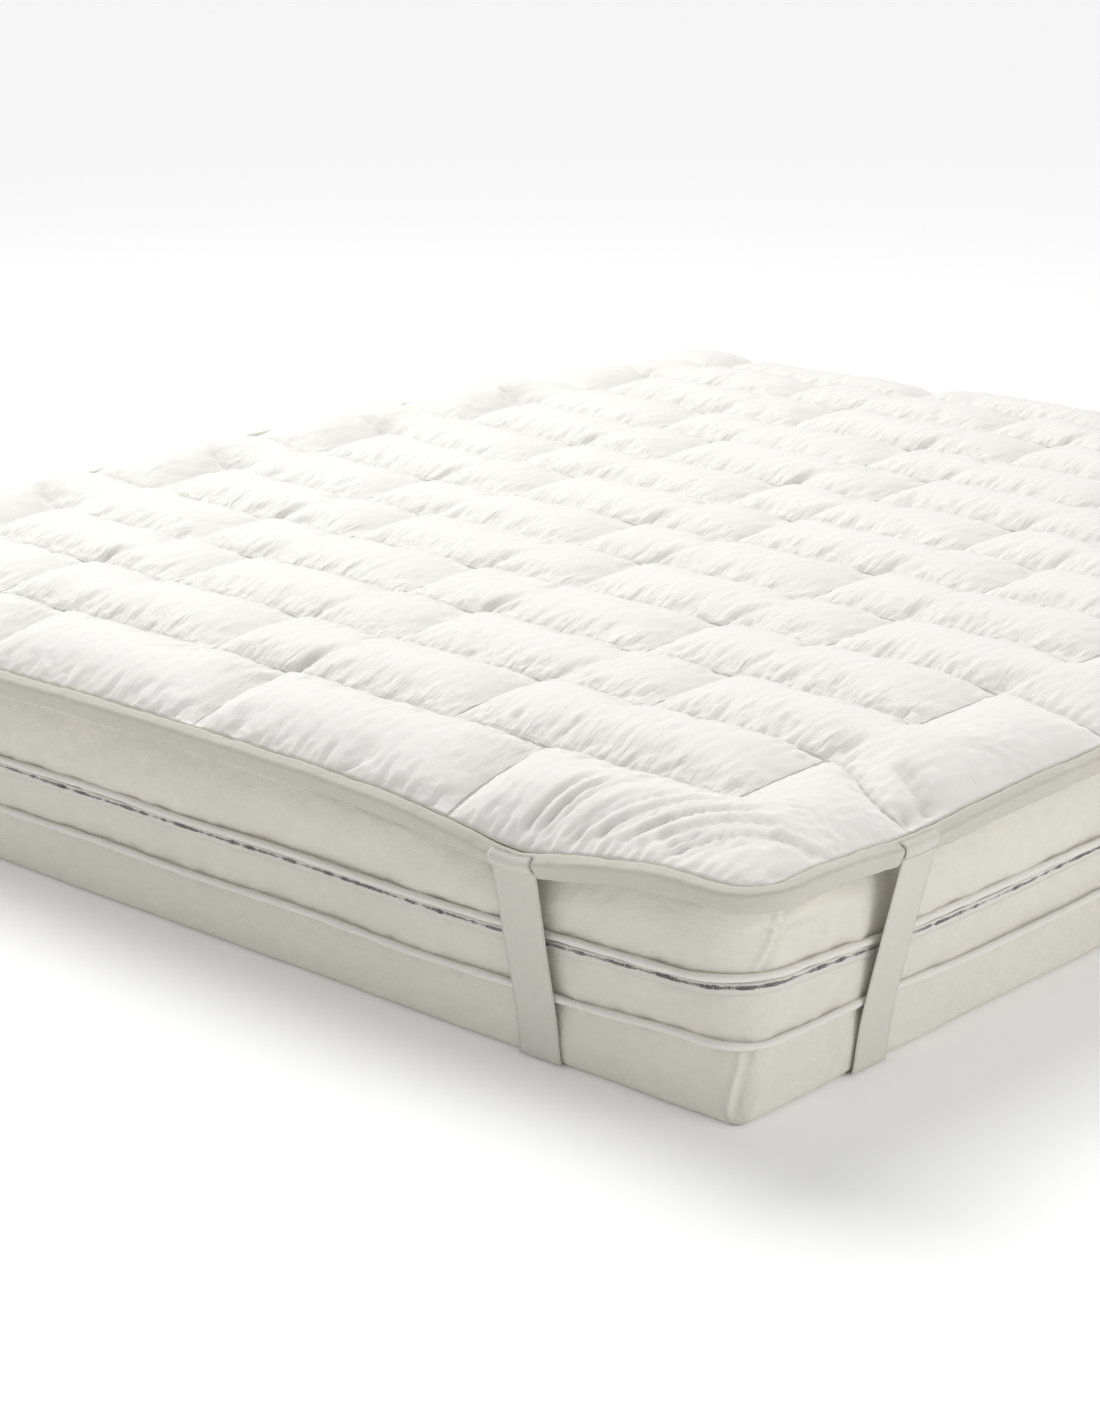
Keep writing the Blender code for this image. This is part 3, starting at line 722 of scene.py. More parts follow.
def round_corner(x, y, edge_x, edge_y, radius):
    """Draw a sheet's square corner in to a quarter circle."""
    p = np.clip((np.abs(x) - (edge_x - radius)) / radius, 0.0, 1.0)
    q = np.clip((np.abs(y) - (edge_y - radius)) / radius, 0.0, 1.0)
    inward_x = radius * p * (1.0 - np.sqrt(1.0 - q * q / 2.0))
    inward_y = radius * q * (1.0 - np.sqrt(1.0 - p * p / 2.0))
    return x - np.sign(x) * inward_x, y - np.sign(y) * inward_y


def sheet_place(rows, channels):
    """Where line numbers (with fractions) come to lie, seen from above: between the lines,
    stretched out to the edge, drawn towards the strap and rounded at the corner."""
    row_at, channel_at = row_lines(), channel_lines()
    x = np.interp(rows, np.arange(ROW_COUNT + 1), row_at)
    y = np.interp(channels, np.arange(CHANNEL_COUNT + 1), channel_at)
    edge_x, edge_y = end_fall_at(x, y, "edge"), fall_at("side", x, "edge")
    x, y = stretch_border(x, row_at, edge_x), stretch_border(y, channel_at, edge_y)
    near = bell((y - DRAWN_SEAM["at"]) / DRAWN_SEAM["reach"])
    y = y - DRAWN_SEAM["by"] * near * smooth((x - row_at[-2]) / DRAWN_SEAM["run"])
    return round_corner(x, y, edge_x, edge_y, CORNER_ROUNDING)


def sheet_height(x, y):
    """Height of the topper's underside over the bed."""
    past = np.maximum(np.abs(x) - (HALF_WIDTH - EDGE_ZONE),
                      np.abs(y) - (HALF_LENGTH - EDGE_ZONE))
    lift = EDGE_LIFT * smooth(past / 0.08)
    return MATTRESS_HEIGHT + REST_GAP + lift - edge_fall(x, y)


def unit(vectors):
    """Vectors made one long."""
    return vectors / np.linalg.norm(vectors, axis=-1, keepdims=True)


def sheet_normal(x, y):
    """Upward normal of the underside, from its slope over a short step."""
    step = 0.0015
    inward_x, inward_y = x - np.sign(x) * step, y - np.sign(y) * step
    here = sheet_height(x, y)
    slope_x = np.sign(x) * (here - sheet_height(inward_x, y)) / step
    slope_y = np.sign(y) * (here - sheet_height(x, inward_y)) / step
    return unit(np.stack([-slope_x, -slope_y, np.ones_like(x)], axis=-1))


def dome(part):
    """(1 - |2 s - 1|^3)^0.6: 0 at both seams, steep beside them and level between."""
    return np.maximum(1.0 - np.abs(2.0 * part - 1.0) ** 3.0, 0.0) ** 0.6


def rise_from(distance, length):
    """1 - exp(-(d / length)^1.3): 0 on a seam, rounding up to 1 past one length."""
    return 1.0 - np.exp(-(distance / length) ** 1.3)


def uneven(number, seed, spread):
    """A steady factor near 1 for each whole number."""
    return 1.0 + spread * np.sin(number * 12.9898 + seed * 78.233)


def junction_crease(aside, across, line, channel):
    """Depth of the crease that a row line's stitching throws into the next puff.

    It starts at the channel seam, runs across the puff, fades as a Gaussian and hooks
    towards +X as the square of its run.
    """
    depth = JUNCTION["depth"] * uneven(line * 3.0 + channel * 7.0, 4.0, 0.35)
    total = 0.0
    for off_seam, strength in ((across * CHANNEL_PITCH, 1.0),
                               ((1.0 - across) * CHANNEL_PITCH, 0.7)):
        run = off_seam / JUNCTION["run"]
        width = JUNCTION["width"] + JUNCTION["widening"] * off_seam
        off_path = (aside - JUNCTION["hook"] * run ** 2) / width
        start = 1.0 - np.exp(-off_seam / 0.007)
        total = total + strength * start * np.exp(-run ** 2 - off_path ** 2)
    return depth * total


def gathered(across, channel):
    """How gathered the cloth is between two channel seams: most behind the seam at -Y,
    fading as a Gaussian, and a little before the other one. In the channel at the -Y edge
    it is the other way about."""
    behind = smooth(across / 0.05) * bell(across / 0.40)
    before = smooth((1.0 - across) / 0.05) * bell((1.0 - across) / 0.15)
    first = smooth((1.0 - across) / 0.05) * bell((1.0 - across) / 0.40)
    return np.where(channel == 0, 0.10 * behind + 0.70 * first, behind + 0.45 * before)


def wrinkles(x, across, channel):
    """Depth of the creases that the gathering throws across a channel.

    They are the upper parts of a random wave of x, bowed towards -X in mid-channel, and
    stronger in some places than in others.
    """
    bowed = x + WRINKLES["bow"] * np.sin(math.pi * across)
    wave = swell(bowed + 7.3 * channel, 0.012 * across, WRINKLES["pitch"], 71)
    patchy = np.clip(0.75 + 0.55 * swell(x + 3.1 * channel, 0.1 * across, 0.16, 72), 0.0, 1.5)
    return (WRINKLES["depth"] * patchy * gathered(across, channel)
            * np.clip(wave - 0.25, 0.0, 1.6))


def fill_between_rows(x, channel, across, on_border):
    """Along each channel: how full it is, the number of its cell, the depth of the creases
    at its row lines, and the distance to its nearest stitching.

    A channel is stitched across at every second row line, in turn with its neighbours. At
    the other ones it has a waist, deepest beside the channel seams.
    """
    row_at = row_lines()
    closed_by_odd = channel % 2 == 0
    full, cell, crease = np.ones_like(x), np.zeros_like(x), np.zeros_like(x)
    to_row = np.full_like(x, 1.0)
    for line in range(1, ROW_COUNT):
        stitched = closed_by_odd == (line % 2 == 1)
        bend = 0.010 * np.sin(math.pi * across) * np.sin(line * 5.1 + channel * 2.3)
        away = np.abs(x - row_at[line] - np.where(stitched, 0.0, bend))
        near_seam = np.exp(-across / 0.16) + np.exp(-(1.0 - across) / 0.16)
        pinch = np.where(on_border, 0.0, WAIST["depth"] * (0.55 + 0.8 * near_seam))
        width = WAIST["half_width"] + WAIST["wider"] * np.sin(math.pi * across)
        waist = 1.0 - pinch * np.exp(-(away / width) ** 1.6)
        # steep on the +X side of the stitching, and a longer slope down to it
        length = np.where(x > row_at[line], STEEP_SLOPE, LONG_SLOPE)
        full = full * np.where(stitched, rise_from(away, length), waist)
        outermost = 0.4 if line in (1, ROW_COUNT - 1) else 1.0
        crease = crease + np.where(stitched | on_border, 0.0, outermost * junction_crease(
            x - row_at[line], across, line, channel))
        cell = cell + np.where(stitched & (x > row_at[line]), 1.0, 0.0)
        to_row = np.where(stitched, np.minimum(to_row, away), to_row)
    return full, cell, crease, to_row


def double_cells(x, channels):
    """The cells past the outer row lines, between channel lines 0, 2, 4 ... 12, 13: their
    first line, their channels (the last has one), the share of the way across, and how
    full they are."""
    pair = 2 * np.floor(np.minimum(channels, CHANNEL_COUNT - 0.001) / 2.0)
    span = np.minimum(pair + 2, CHANNEL_COUNT) - pair
    part = (channels - pair) / span
    full = (np.where(x < 0.0, DOUBLE_CROWN["far"], DOUBLE_CROWN["near"]) * dome(part)
            * uneven(pair + 3.0, 2.0, 0.05)
            * np.where(span == 1, DOUBLE_CROWN["narrow"], 1.0))
    return pair, span, part, full


def puff(channels, x, y):
    """Height of the filling above the seams, the depth of its creases, how gathered the
    cloth is, and its distances to the nearest channel seam and row stitching.

    The filling stands highest in mid-channel, and its height changes over from the single
    cells to the double ones just past the first and the last row line.
    """
    channel = np.clip(np.floor(channels), 0, CHANNEL_COUNT - 1)
    on_border = (channel == 0) | (channel == CHANNEL_COUNT - 1)
    across = channels - channel
    along, cell, crease, to_row = fill_between_rows(x, channel, across, on_border)
    single = (dome(across ** CREST_BACK) * np.where(on_border, CHANNEL_BORDER_CROWN, 1.0)
              * uneven(cell + 7.0 * channel, 1.0, 0.06))
    pair, span, part, double = double_cells(x, channels)
    past = np.abs(x) - row_lines()[-2]
    share = smooth(past / CHANGE_OVER)
    to_end = rise_from(np.abs(end_fall_at(x, y, "edge") - np.abs(x)), END_SLOPE)
    outer = (along * single * (1.0 - share) + double * share) * to_end
    height = CROWN * np.where(past > 0.0, outer, along * single)
    to_channel = np.minimum(across, 1.0 - across) * CHANNEL_PITCH
    to_double = np.minimum(part, 1.0 - part) * span * CHANNEL_PITCH
    to_channel = np.where(past > 0.05, to_double, to_channel)
    share = np.where(past > 0.0, share, 0.0)
    gather = gathered(across, channel) * (1.0 - share) + 0.25 * gathered(part, pair) * share
    # the fan of folds takes the place of the wrinkles beside it
    by_fan = np.where(channel == 0, smooth((x - FAN["first"] + 0.08) / 0.06), 0.0)
    creases = (crease + (1.0 - by_fan) * wrinkles(x, across, channel)) * (1.0 - share)
    creases = creases + 0.3 * wrinkles(x, part, pair) * share
    return height, creases, gather, to_channel, to_row


def on_edge(rows, channels):
    """Whether a point of the grid lies on the sheet's edge."""
    return ((rows == 0) | (rows == ROW_COUNT) |
            (channels == 0) | (channels == CHANNEL_COUNT))


def sewn_through(rows, channels):
    """Where the two layers are sewn together: round the edge, along the channel lines (in
    the outer cells only every second one) and across each channel at every second row
    line."""
    on_row, on_channel = rows == np.round(rows), channels == np.round(channels)
    inner = (rows >= 1) & (rows <= ROW_COUNT - 1)
    along = on_channel & (inner | (channels % 2 == 0))
    across = on_row & inner & ((np.floor(channels) % 2 == 0) == (rows % 2 == 1))
    return on_edge(rows, channels) | along | across


def sheet_points():
    """Underside and top of the topper on its grid, its place on the flat cloth, and its
    marks: creases and how dark the painted shade in them is, how gathered it is, distances
    to its seams, the share of the double cells, and where it is sewn."""
    rows, channels = np.meshgrid(stations(ROW_STEPS, 0.0), stations(CHANNEL_STEPS, 0.40),
                                 indexing='ij')
    x, y = sheet_place(rows, channels)
    under = np.stack([x, y, sheet_height(x, y)], axis=-1)
    height, creases, gather, to_channel, to_row = puff(channels, x, y)
    inside = smooth(np.minimum(end_fall_at(x, y, "edge") - np.abs(x),
                               fall_at("side", x, "edge") - np.abs(y)) / 0.012)
    creases = np.minimum(inside * (creases + strap_folds(x, y)), height + 0.004)
    thickness = np.where(on_edge(rows, channels), EDGE_THICKNESS, SEAM_THICKNESS + height)
    normal = sheet_normal(x, y)
    return dict(
        under=under, top=under + normal * thickness[..., None],
        flat_x=np.interp(rows, np.arange(ROW_COUNT + 1), row_lines()),
        flat_y=np.interp(channels, np.arange(CHANNEL_COUNT + 1), channel_lines()),
        creases=normal * creases[..., None],
        # painted shade: how dark each crease is painted
        dark=np.clip(creases / CREASE_SHADE_DEPTH, 0.0, 1.0),
        gather=gather * inside, to_channel=to_channel, to_row=to_row,
        double=smooth((np.abs(x) - row_lines()[-2]) / 0.060),
        sewn=sewn_through(rows, channels))


# Folds drawn towards the two straps of the corner at +X -Y: a fan along the side, and
# single ones (start, end, sideways bow, depth and width)
FAN = dict(first=0.535, last=0.740, count=15, edge=-0.957, top=-0.846, depth=0.0046,
           width=0.0037, bow=0.008)
END_FOLDS = (
    dict(start=(0.738, -0.640), end=(0.840, -0.706), bow=0.003, depth=0.0100, width=0.0070),
    dict(start=(0.786, -0.700), end=(0.840, -0.733), bow=0.002, depth=0.0065, width=0.0060),
    dict(start=(0.782, -0.636), end=(0.836, -0.686), bow=0.003, depth=0.0030, width=0.0070),
)


def strap_folds(x, y):
    """Depth of all of these folds. Those of the fan start evenly along the edge, and lean
    over the more the farther they start from the strap."""
    depth = 0.0
    for fold in END_FOLDS:
        line = soft_line(x, y, fold["start"], fold["end"], fold["bow"], fold["width"])
        depth = depth + fold["depth"] * line
    for number, start in enumerate(np.linspace(FAN["first"], FAN["last"], FAN["count"])):
        start = start + 0.004 * math.sin(number * 2.9)
        lean = 0.030 + 0.080 * float(smooth((start - FAN["first"]) / 0.09))
        top = FAN["top"] + 0.010 * math.sin(number * 4.1)
        line = soft_line(x, y, (start, FAN["edge"]), (start + lean, top), FAN["bow"],
                         FAN["width"])
        depth = depth + FAN["depth"] * (1.0 + 0.3 * math.sin(number * 1.7)) * line
    return depth


SPARE_AT_SEAM, SPARE_AT_CREST = 0.06, 0.005    # cloth to spare, as a share of its size
SPARE_LEVELS = 20              # steps between the two
LESS_IN_DOUBLE = 0.85          # share of the seams' spare cloth that double cells go without
GATHER_REACH = 0.045
FILLING_PRESSURE = 1.5
SETTLE_FRAMES = 15
MOST_MOVED = 0.007


def mark_sewn_and_taut(cloth, sheet):
    """The cloth's vertex groups: where it is sewn, and how taut it is, in even levels from
    0, with the seams' spare cloth, to 1, with the crest's."""
    sewn = np.flatnonzero(sheet["sewn"]).tolist()
    cloth.vertex_groups.new(name="sewn").add(sewn, 1.0, 'REPLACE')
    away = smooth(sheet["to_channel"] / GATHER_REACH)
    off_row = 0.25 + 0.75 * smooth(sheet["to_row"] / 0.05)
    spare = (1.0 - away) * off_row * (1.0 - LESS_IN_DOUBLE * sheet["double"])
    taut = np.round(SPARE_LEVELS * (1.0 - spare)).astype(int)
    tautness = cloth.vertex_groups.new(name="taut")
    for level in range(SPARE_LEVELS + 1):
        tautness.add(np.flatnonzero(taut == level).tolist(), level / SPARE_LEVELS, 'REPLACE')


def settled(sheet):
    """The upper cloth after a cloth simulation: held along all its stitching, too large
    near the channel seams and pushed out by the filling, it puffs up and gathers. No point
    moves farther than MOST_MOVED."""
    start = sheet["top"].copy()
    crumple = 0.0006 * swell(sheet["flat_x"], sheet["flat_y"], 0.018, 61)
    start[..., 2] += np.where(sheet["sewn"], 0.0, crumple)
    cloth = make_piece("upper_cloth", start, quads(*start.shape[:2]), None)
    mark_sewn_and_taut(cloth, sheet)
    modifier = cloth.modifiers.new("cloth", 'CLOTH')
    modifier.point_cache.frame_end = SETTLE_FRAMES
    modifier.collision_settings.use_collision = False
    settings = modifier.settings
    settings.quality = 5
    settings.bending_stiffness = 0.05
    settings.vertex_group_mass = "sewn"
    settings.vertex_group_shrink = "taut"
    settings.shrink_min, settings.shrink_max = -SPARE_AT_SEAM, -SPARE_AT_CREST
    settings.use_pressure = True
    settings.uniform_pressure_force = FILLING_PRESSURE
    settings.effector_weights.gravity = 0.0
    for frame_number in range(1, SETTLE_FRAMES + 1):
        bpy.context.scene.frame_set(frame_number)
    evaluated = cloth.evaluated_get(bpy.context.evaluated_depsgraph_get())
    place = np.empty(start.size, dtype=np.float32)
    evaluated.data.vertices.foreach_get("co", place)
    bpy.data.objects.remove(cloth)
    bpy.context.scene.frame_set(1)
    moved = place.reshape(start.shape) - start
    far = np.linalg.norm(moved, axis=-1, keepdims=True)
    return start + moved * np.minimum(1.0, MOST_MOVED / np.maximum(far, 1e-9))


def seam_group():
    """The quilting's stitched lines on the flat cloth: a narrow line, for painted shade and a
    sunken bump, and a wide band of painted shade beside it, 1 on the seam, and the raised
    stitches along it.

    A channel seam is where v / pitch + 6.5 is whole, only on even ones past the outer row
    lines. In each channel every second row line is stitched, 2 * ROW_PITCH apart.
    """
    group, pattern, _, end = new_group("quilt_seams", {}, ("Line", "ShadeBand", "Stitch"))
    calc = pattern.calc
    u, v = pattern.split()
    cells = calc('MULTIPLY_ADD', v, 1.0 / CHANNEL_PITCH, CHANNEL_COUNT / 2.0)
    nearest = calc('ROUND', cells)
    off_channel = calc('MULTIPLY', calc('ABSOLUTE', calc('SUBTRACT', cells, nearest)),
                       CHANNEL_PITCH)
    outer_line = float(row_lines()[-2])
    outside = calc('GREATER_THAN', calc('ABSOLUTE', u), outer_line + 0.001)
    odd_line = calc('MODULO', nearest, 2.0)
    off_channel = calc('ADD', off_channel, calc('MULTIPLY', outside, odd_line))
    odd_channel = calc('MODULO', calc('FLOOR', cells), 2.0)
    shift = calc('MULTIPLY', odd_channel, ROW_PITCH * (1.0 + 2.0 * LINE_SHIFT))
    from_line = calc('SUBTRACT', calc('ADD', u, outer_line), shift)
    turns = calc('MULTIPLY', from_line, 0.5 / ROW_PITCH)
    off_row = calc('MULTIPLY', calc('ABSOLUTE', calc('SUBTRACT', turns, calc('ROUND', turns))),
                   2.0 * ROW_PITCH)
    off_seam = calc('MINIMUM', off_channel, calc('ADD', off_row, outside))
    line = calc('MULTIPLY_ADD', off_seam, -1.0 / SEAM["line"], 1.0, clamp=True)
    # the wide band carries only painted shade beside the seam
    hollow = calc('MULTIPLY_ADD', off_seam, -1.0 / SEAM["hollow"], 1.0, clamp=True)
    along = calc('MULTIPLY', calc('ADD', u, v), math.tau / SEAM["stitch"])
    thread = calc('MULTIPLY_ADD', calc('SINE', along), 3.0, 1.5, clamp=True)
    narrow = calc('MULTIPLY_ADD', off_seam, -1.0 / SEAM["thread"], 1.8, clamp=True)
    pattern.feed(end["Line"], line)
    pattern.feed(end["ShadeBand"], calc('MULTIPLY', hollow, hollow))
    pattern.feed(end["Stitch"], calc('MULTIPLY', thread, narrow))
    return group


def quilt_cloth():
    """White cotton percale, with the quilting's stitches and fine creases. Shade is painted
    into it: greyer on and beside the stitched lines and in deep creases."""
    cloth = Cloth("quilted_cloth", TOPPER_COLOUR, TOPPER_SHADE, 24.0, 0.4,
                  roughness=0.62, sheen=0.25)
    seams = cloth.group(seam_group())
    # painted shade: grey painted into deep creases, into the band beside each stitched line
    # and onto the line itself
    painted_shade_share = cloth.calc('MULTIPLY', cloth.mark("crease"), PAINTED_SHADE["crease"])
    painted_shade_share = cloth.calc('MULTIPLY_ADD', seams["ShadeBand"], PAINTED_SHADE["hollow"], painted_shade_share)
    painted_shade_share = cloth.calc('MULTIPLY_ADD', seams["Line"], PAINTED_SHADE["line"], painted_shade_share, clamp=True)
    cloth.tint_print_and_shade(painted_shade_share, PAINTED_SHADE["colour"])
    # fine creases across the channels where the cloth is gathered
    stretch = cloth.nodes.new('ShaderNodeMapping')
    cloth.fill(stretch, Vector=cloth.place, Scale=(1.0, 0.16, 1.0))
    fine = cloth.noise(115.0, 2.0, 0.5, stretch.outputs["Vector"])
    gathers = cloth.calc('MULTIPLY', fine, cloth.mark("gather"))
    sunk = cloth.calc('SUBTRACT', 1.0, seams["Line"])
    cloth.emboss((gathers, 0.0033), (cloth.noise(75.0, 3.0, 1.2), 0.0005), (sunk, 0.0016),
                 (seams["Stitch"], 0.0005), (cloth.threads(450.0), 0.00010))
    return cloth


def edge_numbers(rows, columns):
    """Vertex numbers once round a grid's edge, starting with its first column."""
    number = np.arange(rows * columns).reshape(rows, columns)
    return np.concatenate([number[:-1, 0], number[-1, :-1], number[:0:-1, -1],
                           number[0, :0:-1]])


def make_topper(sheet):
    """The quilted upper side, an edge wall and a plain underside, closed."""
    every = UNDERSIDE_EVERY
    top, under = sheet["top"], sheet["under"][::every, ::every]
    start = top.shape[0] * top.shape[1]
    points = np.concatenate([top.reshape(-1, 3), under.reshape(-1, 3)])
    faces = np.concatenate([quads(*top.shape[:2]).reshape(-1, 4),
                            start + quads(*under.shape[:2])[..., ::-1].reshape(-1, 4)])
    u_lines, v_lines = sheet["flat_x"][:, 0], sheet["flat_y"][0]
    below_uv = grid_uv(u_lines[::every], v_lines[::every])[:, :, ::-1]
    uv = np.concatenate([grid_uv(u_lines, v_lines).reshape(-1, 2), below_uv.reshape(-1, 2)])
    # the wall: from two neighbours below to all of the vertices above them
    above = edge_numbers(*top.shape[:2])
    below = start + edge_numbers(*under.shape[:2])
    upper = above[(np.arange(below.size)[:, None] * every + np.arange(every, -1, -1))
                  % above.size]
    wall = np.concatenate([below[:, None], np.roll(below, -1)[:, None], upper], axis=1)
    # the crease mark carries how dark the painted shade in each crease is
    return make_piece("quilted_topper", points, faces, quilt_cloth().material, uv,
                      wall.tolist(), dict(gather=sheet["gather"], crease=sheet["dark"]))


sheet = sheet_points()
sheet["top"] = settled(sheet)
sheet["top"] = sheet["top"] - sheet["creases"]
topper = make_topper(sheet)
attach(topper, "root")
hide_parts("topper")


# Edge binding ------------------------------------------------------------------------------
# A strip of cotton rolled over the topper's raw edge and stitched down, soft and full.

BINDING_RADIUS, BINDING_GAP = 0.0095, 0.0009
BINDING_HALF = dict(out=0.0089, up=0.0112)     # half thickness and half height
BINDING_SQUARENESS = 5.0
BINDING_DROP = 0.003           # how far its middle lies below that of the topper's edge
# the cover's beige cloth, painted darker as shade because the band lies in shade under the
# topper's edge
BINDING_SHADED_COLOUR = (0.62, 0.60, 0.53)


def edge_ring(sheet):
    """Round the topper's edge: middle of the edge wall, its normal, and the way out,
    lengthened at each turn so that an offset path keeps its distance."""
    at = edge_numbers(*sheet["under"].shape[:2])
    under, top = (sheet[side].reshape(-1, 3)[at] for side in ("under", "top"))
    middle = (under + top) / 2.0
    normal = unit(top - under)
    ahead = unit(np.roll(middle, -1, axis=0) - middle)
    behind = unit(middle - np.roll(middle, 1, axis=0))
    out = unit(np.cross(ahead + behind, normal))
    half_turn = np.linalg.norm(ahead + behind, axis=-1, keepdims=True) / 2.0
    return middle, normal, out / half_turn


def binding_section(angle):
    """Section through the binding, |out|^p + |up|^p = 1 scaled to its half sizes, and the
    way it faces there."""
    c, s = np.cos(angle), np.sin(angle)
    reach = (np.abs(c) ** BINDING_SQUARENESS + np.abs(s) ** BINDING_SQUARENESS) ** (
        -1.0 / BINDING_SQUARENESS)
    across, upward = c * reach, s * reach
    power = BINDING_SQUARENESS - 1.0
    face = unit(np.stack([np.sign(c) * np.abs(across) ** power / BINDING_HALF["out"],
                          np.sign(s) * np.abs(upward) ** power / BINDING_HALF["up"]], -1))
    return across * BINDING_HALF["out"], upward * BINDING_HALF["up"], face


def binding_centre(middle, normal, out):
    """The path of the binding's middle, from the topper's edge."""
    return middle + out * (BINDING_RADIUS + BINDING_GAP) - normal * BINDING_DROP


def make_binding(ring):
    """The flat-sided section, carried along the edge and a little uneven."""
    middle, normal, out = ring
    centre = binding_centre(middle, normal, out)
    along = length_along(np.concatenate([centre, centre[:1]]))
    place = along[:-1, None]
    angle = np.linspace(0.0, math.tau, 28, endpoint=False)
    plump = (1.0 + 0.030 * swell(place, 0.0, 0.09, 41)
             + 0.02 * swell(place, 0.01 * angle, 0.03, 42))
    across, upward, _ = binding_section(angle)
    points = (centre[:, None]
              + unit(out)[:, None] * (across * np.minimum(plump, 1.04))[..., None]
              + normal[:, None] * (upward * plump)[..., None])
    round_section = np.linspace(0.0, math.tau * BINDING_RADIUS, angle.size + 1)
    return make_ring("rolled_binding", points, along, round_section,
                     trim_cloth("edge_binding_cloth", BINDING_SHADED_COLOUR))


ring = edge_ring(sheet)
binding = make_binding(ring)
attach(binding, "root")
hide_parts("edge_binding")


# Corner straps -----------------------------------------------------------------------------
# Flat woven elastic. Each is stitched to the face of the binding, goes down the side, is
# pulled tight across under the mattress's corner and comes up again on the other side.

STRAP_WIDTH, STRAP_THICKNESS = 0.053, 0.0015
STRAP_COLOUR, STRAP_SHADE = (0.73, 0.715, 0.645), (0.68, 0.665, 0.60)
STRAP_GAP = 0.0009
RIB_PITCH, WEFT_PITCH = 0.0024, 0.0011
# Where round the binding's section it lies, in degrees from the way out
ON_BINDING = (100.0, 76.0, 62.0, 52.0, 43.0, 30.0, 0.0, -28.0)
BELOW_BINDING = (
    # hanging free, then against the pipings and round the foot: distance from the side,
    # height, and share of the way along from its top to its foot
    (0.0148, 0.118, 0.50), (0.0105, 0.066, 0.93), (0.0066, 0.034, 1.0),
    (0.0042, 0.014, 1.0), (0.0016, 0.0052, 1.0), (-0.006, 0.00125, 1.0),
)
STRAP_STEPS = (260, 12)        # of its mesh, lengthwise and across


def edge_near(ring, side, mirror, places):
    """The edge ring read at places along an end or a long side, with the corner in hand
    turned into the one at +X +Y."""
    along, across = (0, 1) if side == "side" else (1, 0)
    middle, normal, out = (field * mirror for field in ring)
    here = np.flatnonzero(middle[:, across] > 0.95 * middle[:, across].max())
    here = here[np.argsort(middle[here, along])]

    def read(field):
        return np.stack([np.interp(places, middle[here, along], field[here, axis])
                         for axis in range(3)], axis=-1)
    return read(middle), unit(read(normal)), unit(read(out))


def strap_side(ring, side, mirror, share):
    """Cross-sections of a strap down one side, from its seam to the mattress's foot."""
    along, across = (0, 1) if side == "side" else (1, 0)
    middle, normal, out = edge_near(ring, side, mirror, STRAP_TOP_AT[side] + share)
    centre = binding_centre(middle, normal, out)
    clear = STRAP_THICKNESS / 2.0 + STRAP_GAP
    sections = []
    for angle in np.radians(ON_BINDING):
        across_by, up_by, face = binding_section(angle)
        sections.append(centre + out * (across_by + face[0] * clear)
                        + normal * (up_by + face[1] * clear))
    foot_at = STRAP_FOOT_AT[side] + share
    top_at = sections[-1]
    side_at = HALF_LENGTH if side == "side" else HALF_WIDTH
    for away, height, down in BELOW_BINDING:
        section = np.empty_like(middle)
        section[:, along] = top_at[:, along] + (foot_at - top_at[:, along]) * down
        section[:, across] = side_at + away
        section[:, 2] = height
        sections.append(section)
    return sections


def follow(points, steps):
    """Smooth curve through rows of points (Catmull and Rom's), resampled evenly."""
    ends = np.concatenate([2 * points[:1] - points[1:2], points,
                           2 * points[-1:] - points[-2:-1]])
    t = np.linspace(0.0, 1.0, 8, endpoint=False)[:, None, None]
    pieces = []
    for a, b, c, d in zip(ends, ends[1:], ends[2:], ends[3:]):
        pieces.append(0.5 * (2 * b + (c - a) * t + (2 * a - 5 * b + 4 * c - d) * t ** 2
                             + (3 * b - a - 3 * c + d) * t ** 3))
    curve = np.concatenate(pieces + [points[-1:]])
    middle = curve[:, curve.shape[1] // 2]
    length = length_along(middle)
    at = np.linspace(0.0, length[-1], steps)
    flat = curve.reshape(curve.shape[0], -1)
    even = np.stack([np.interp(at, length, flat[:, k]) for k in range(flat.shape[1])], -1)
    return even.reshape(steps, *curve.shape[1:]), length[-1]


def strap_elastic():
    """Ribbed elastic: fine cords along it, crossed by close weft."""
    cloth = Cloth("strap_elastic", STRAP_COLOUR, STRAP_SHADE, 120.0, 0.6,
                  roughness=0.78, sheen=0.1)
    along, across = cloth.split()
    ribs = cloth.calc('SINE', cloth.calc('MULTIPLY', across, math.tau / RIB_PITCH))
    weft = cloth.calc('SINE', cloth.calc('MULTIPLY', along, math.tau / WEFT_PITCH))
    cloth.emboss((ribs, 0.00016), (weft, 0.00006))
    return cloth


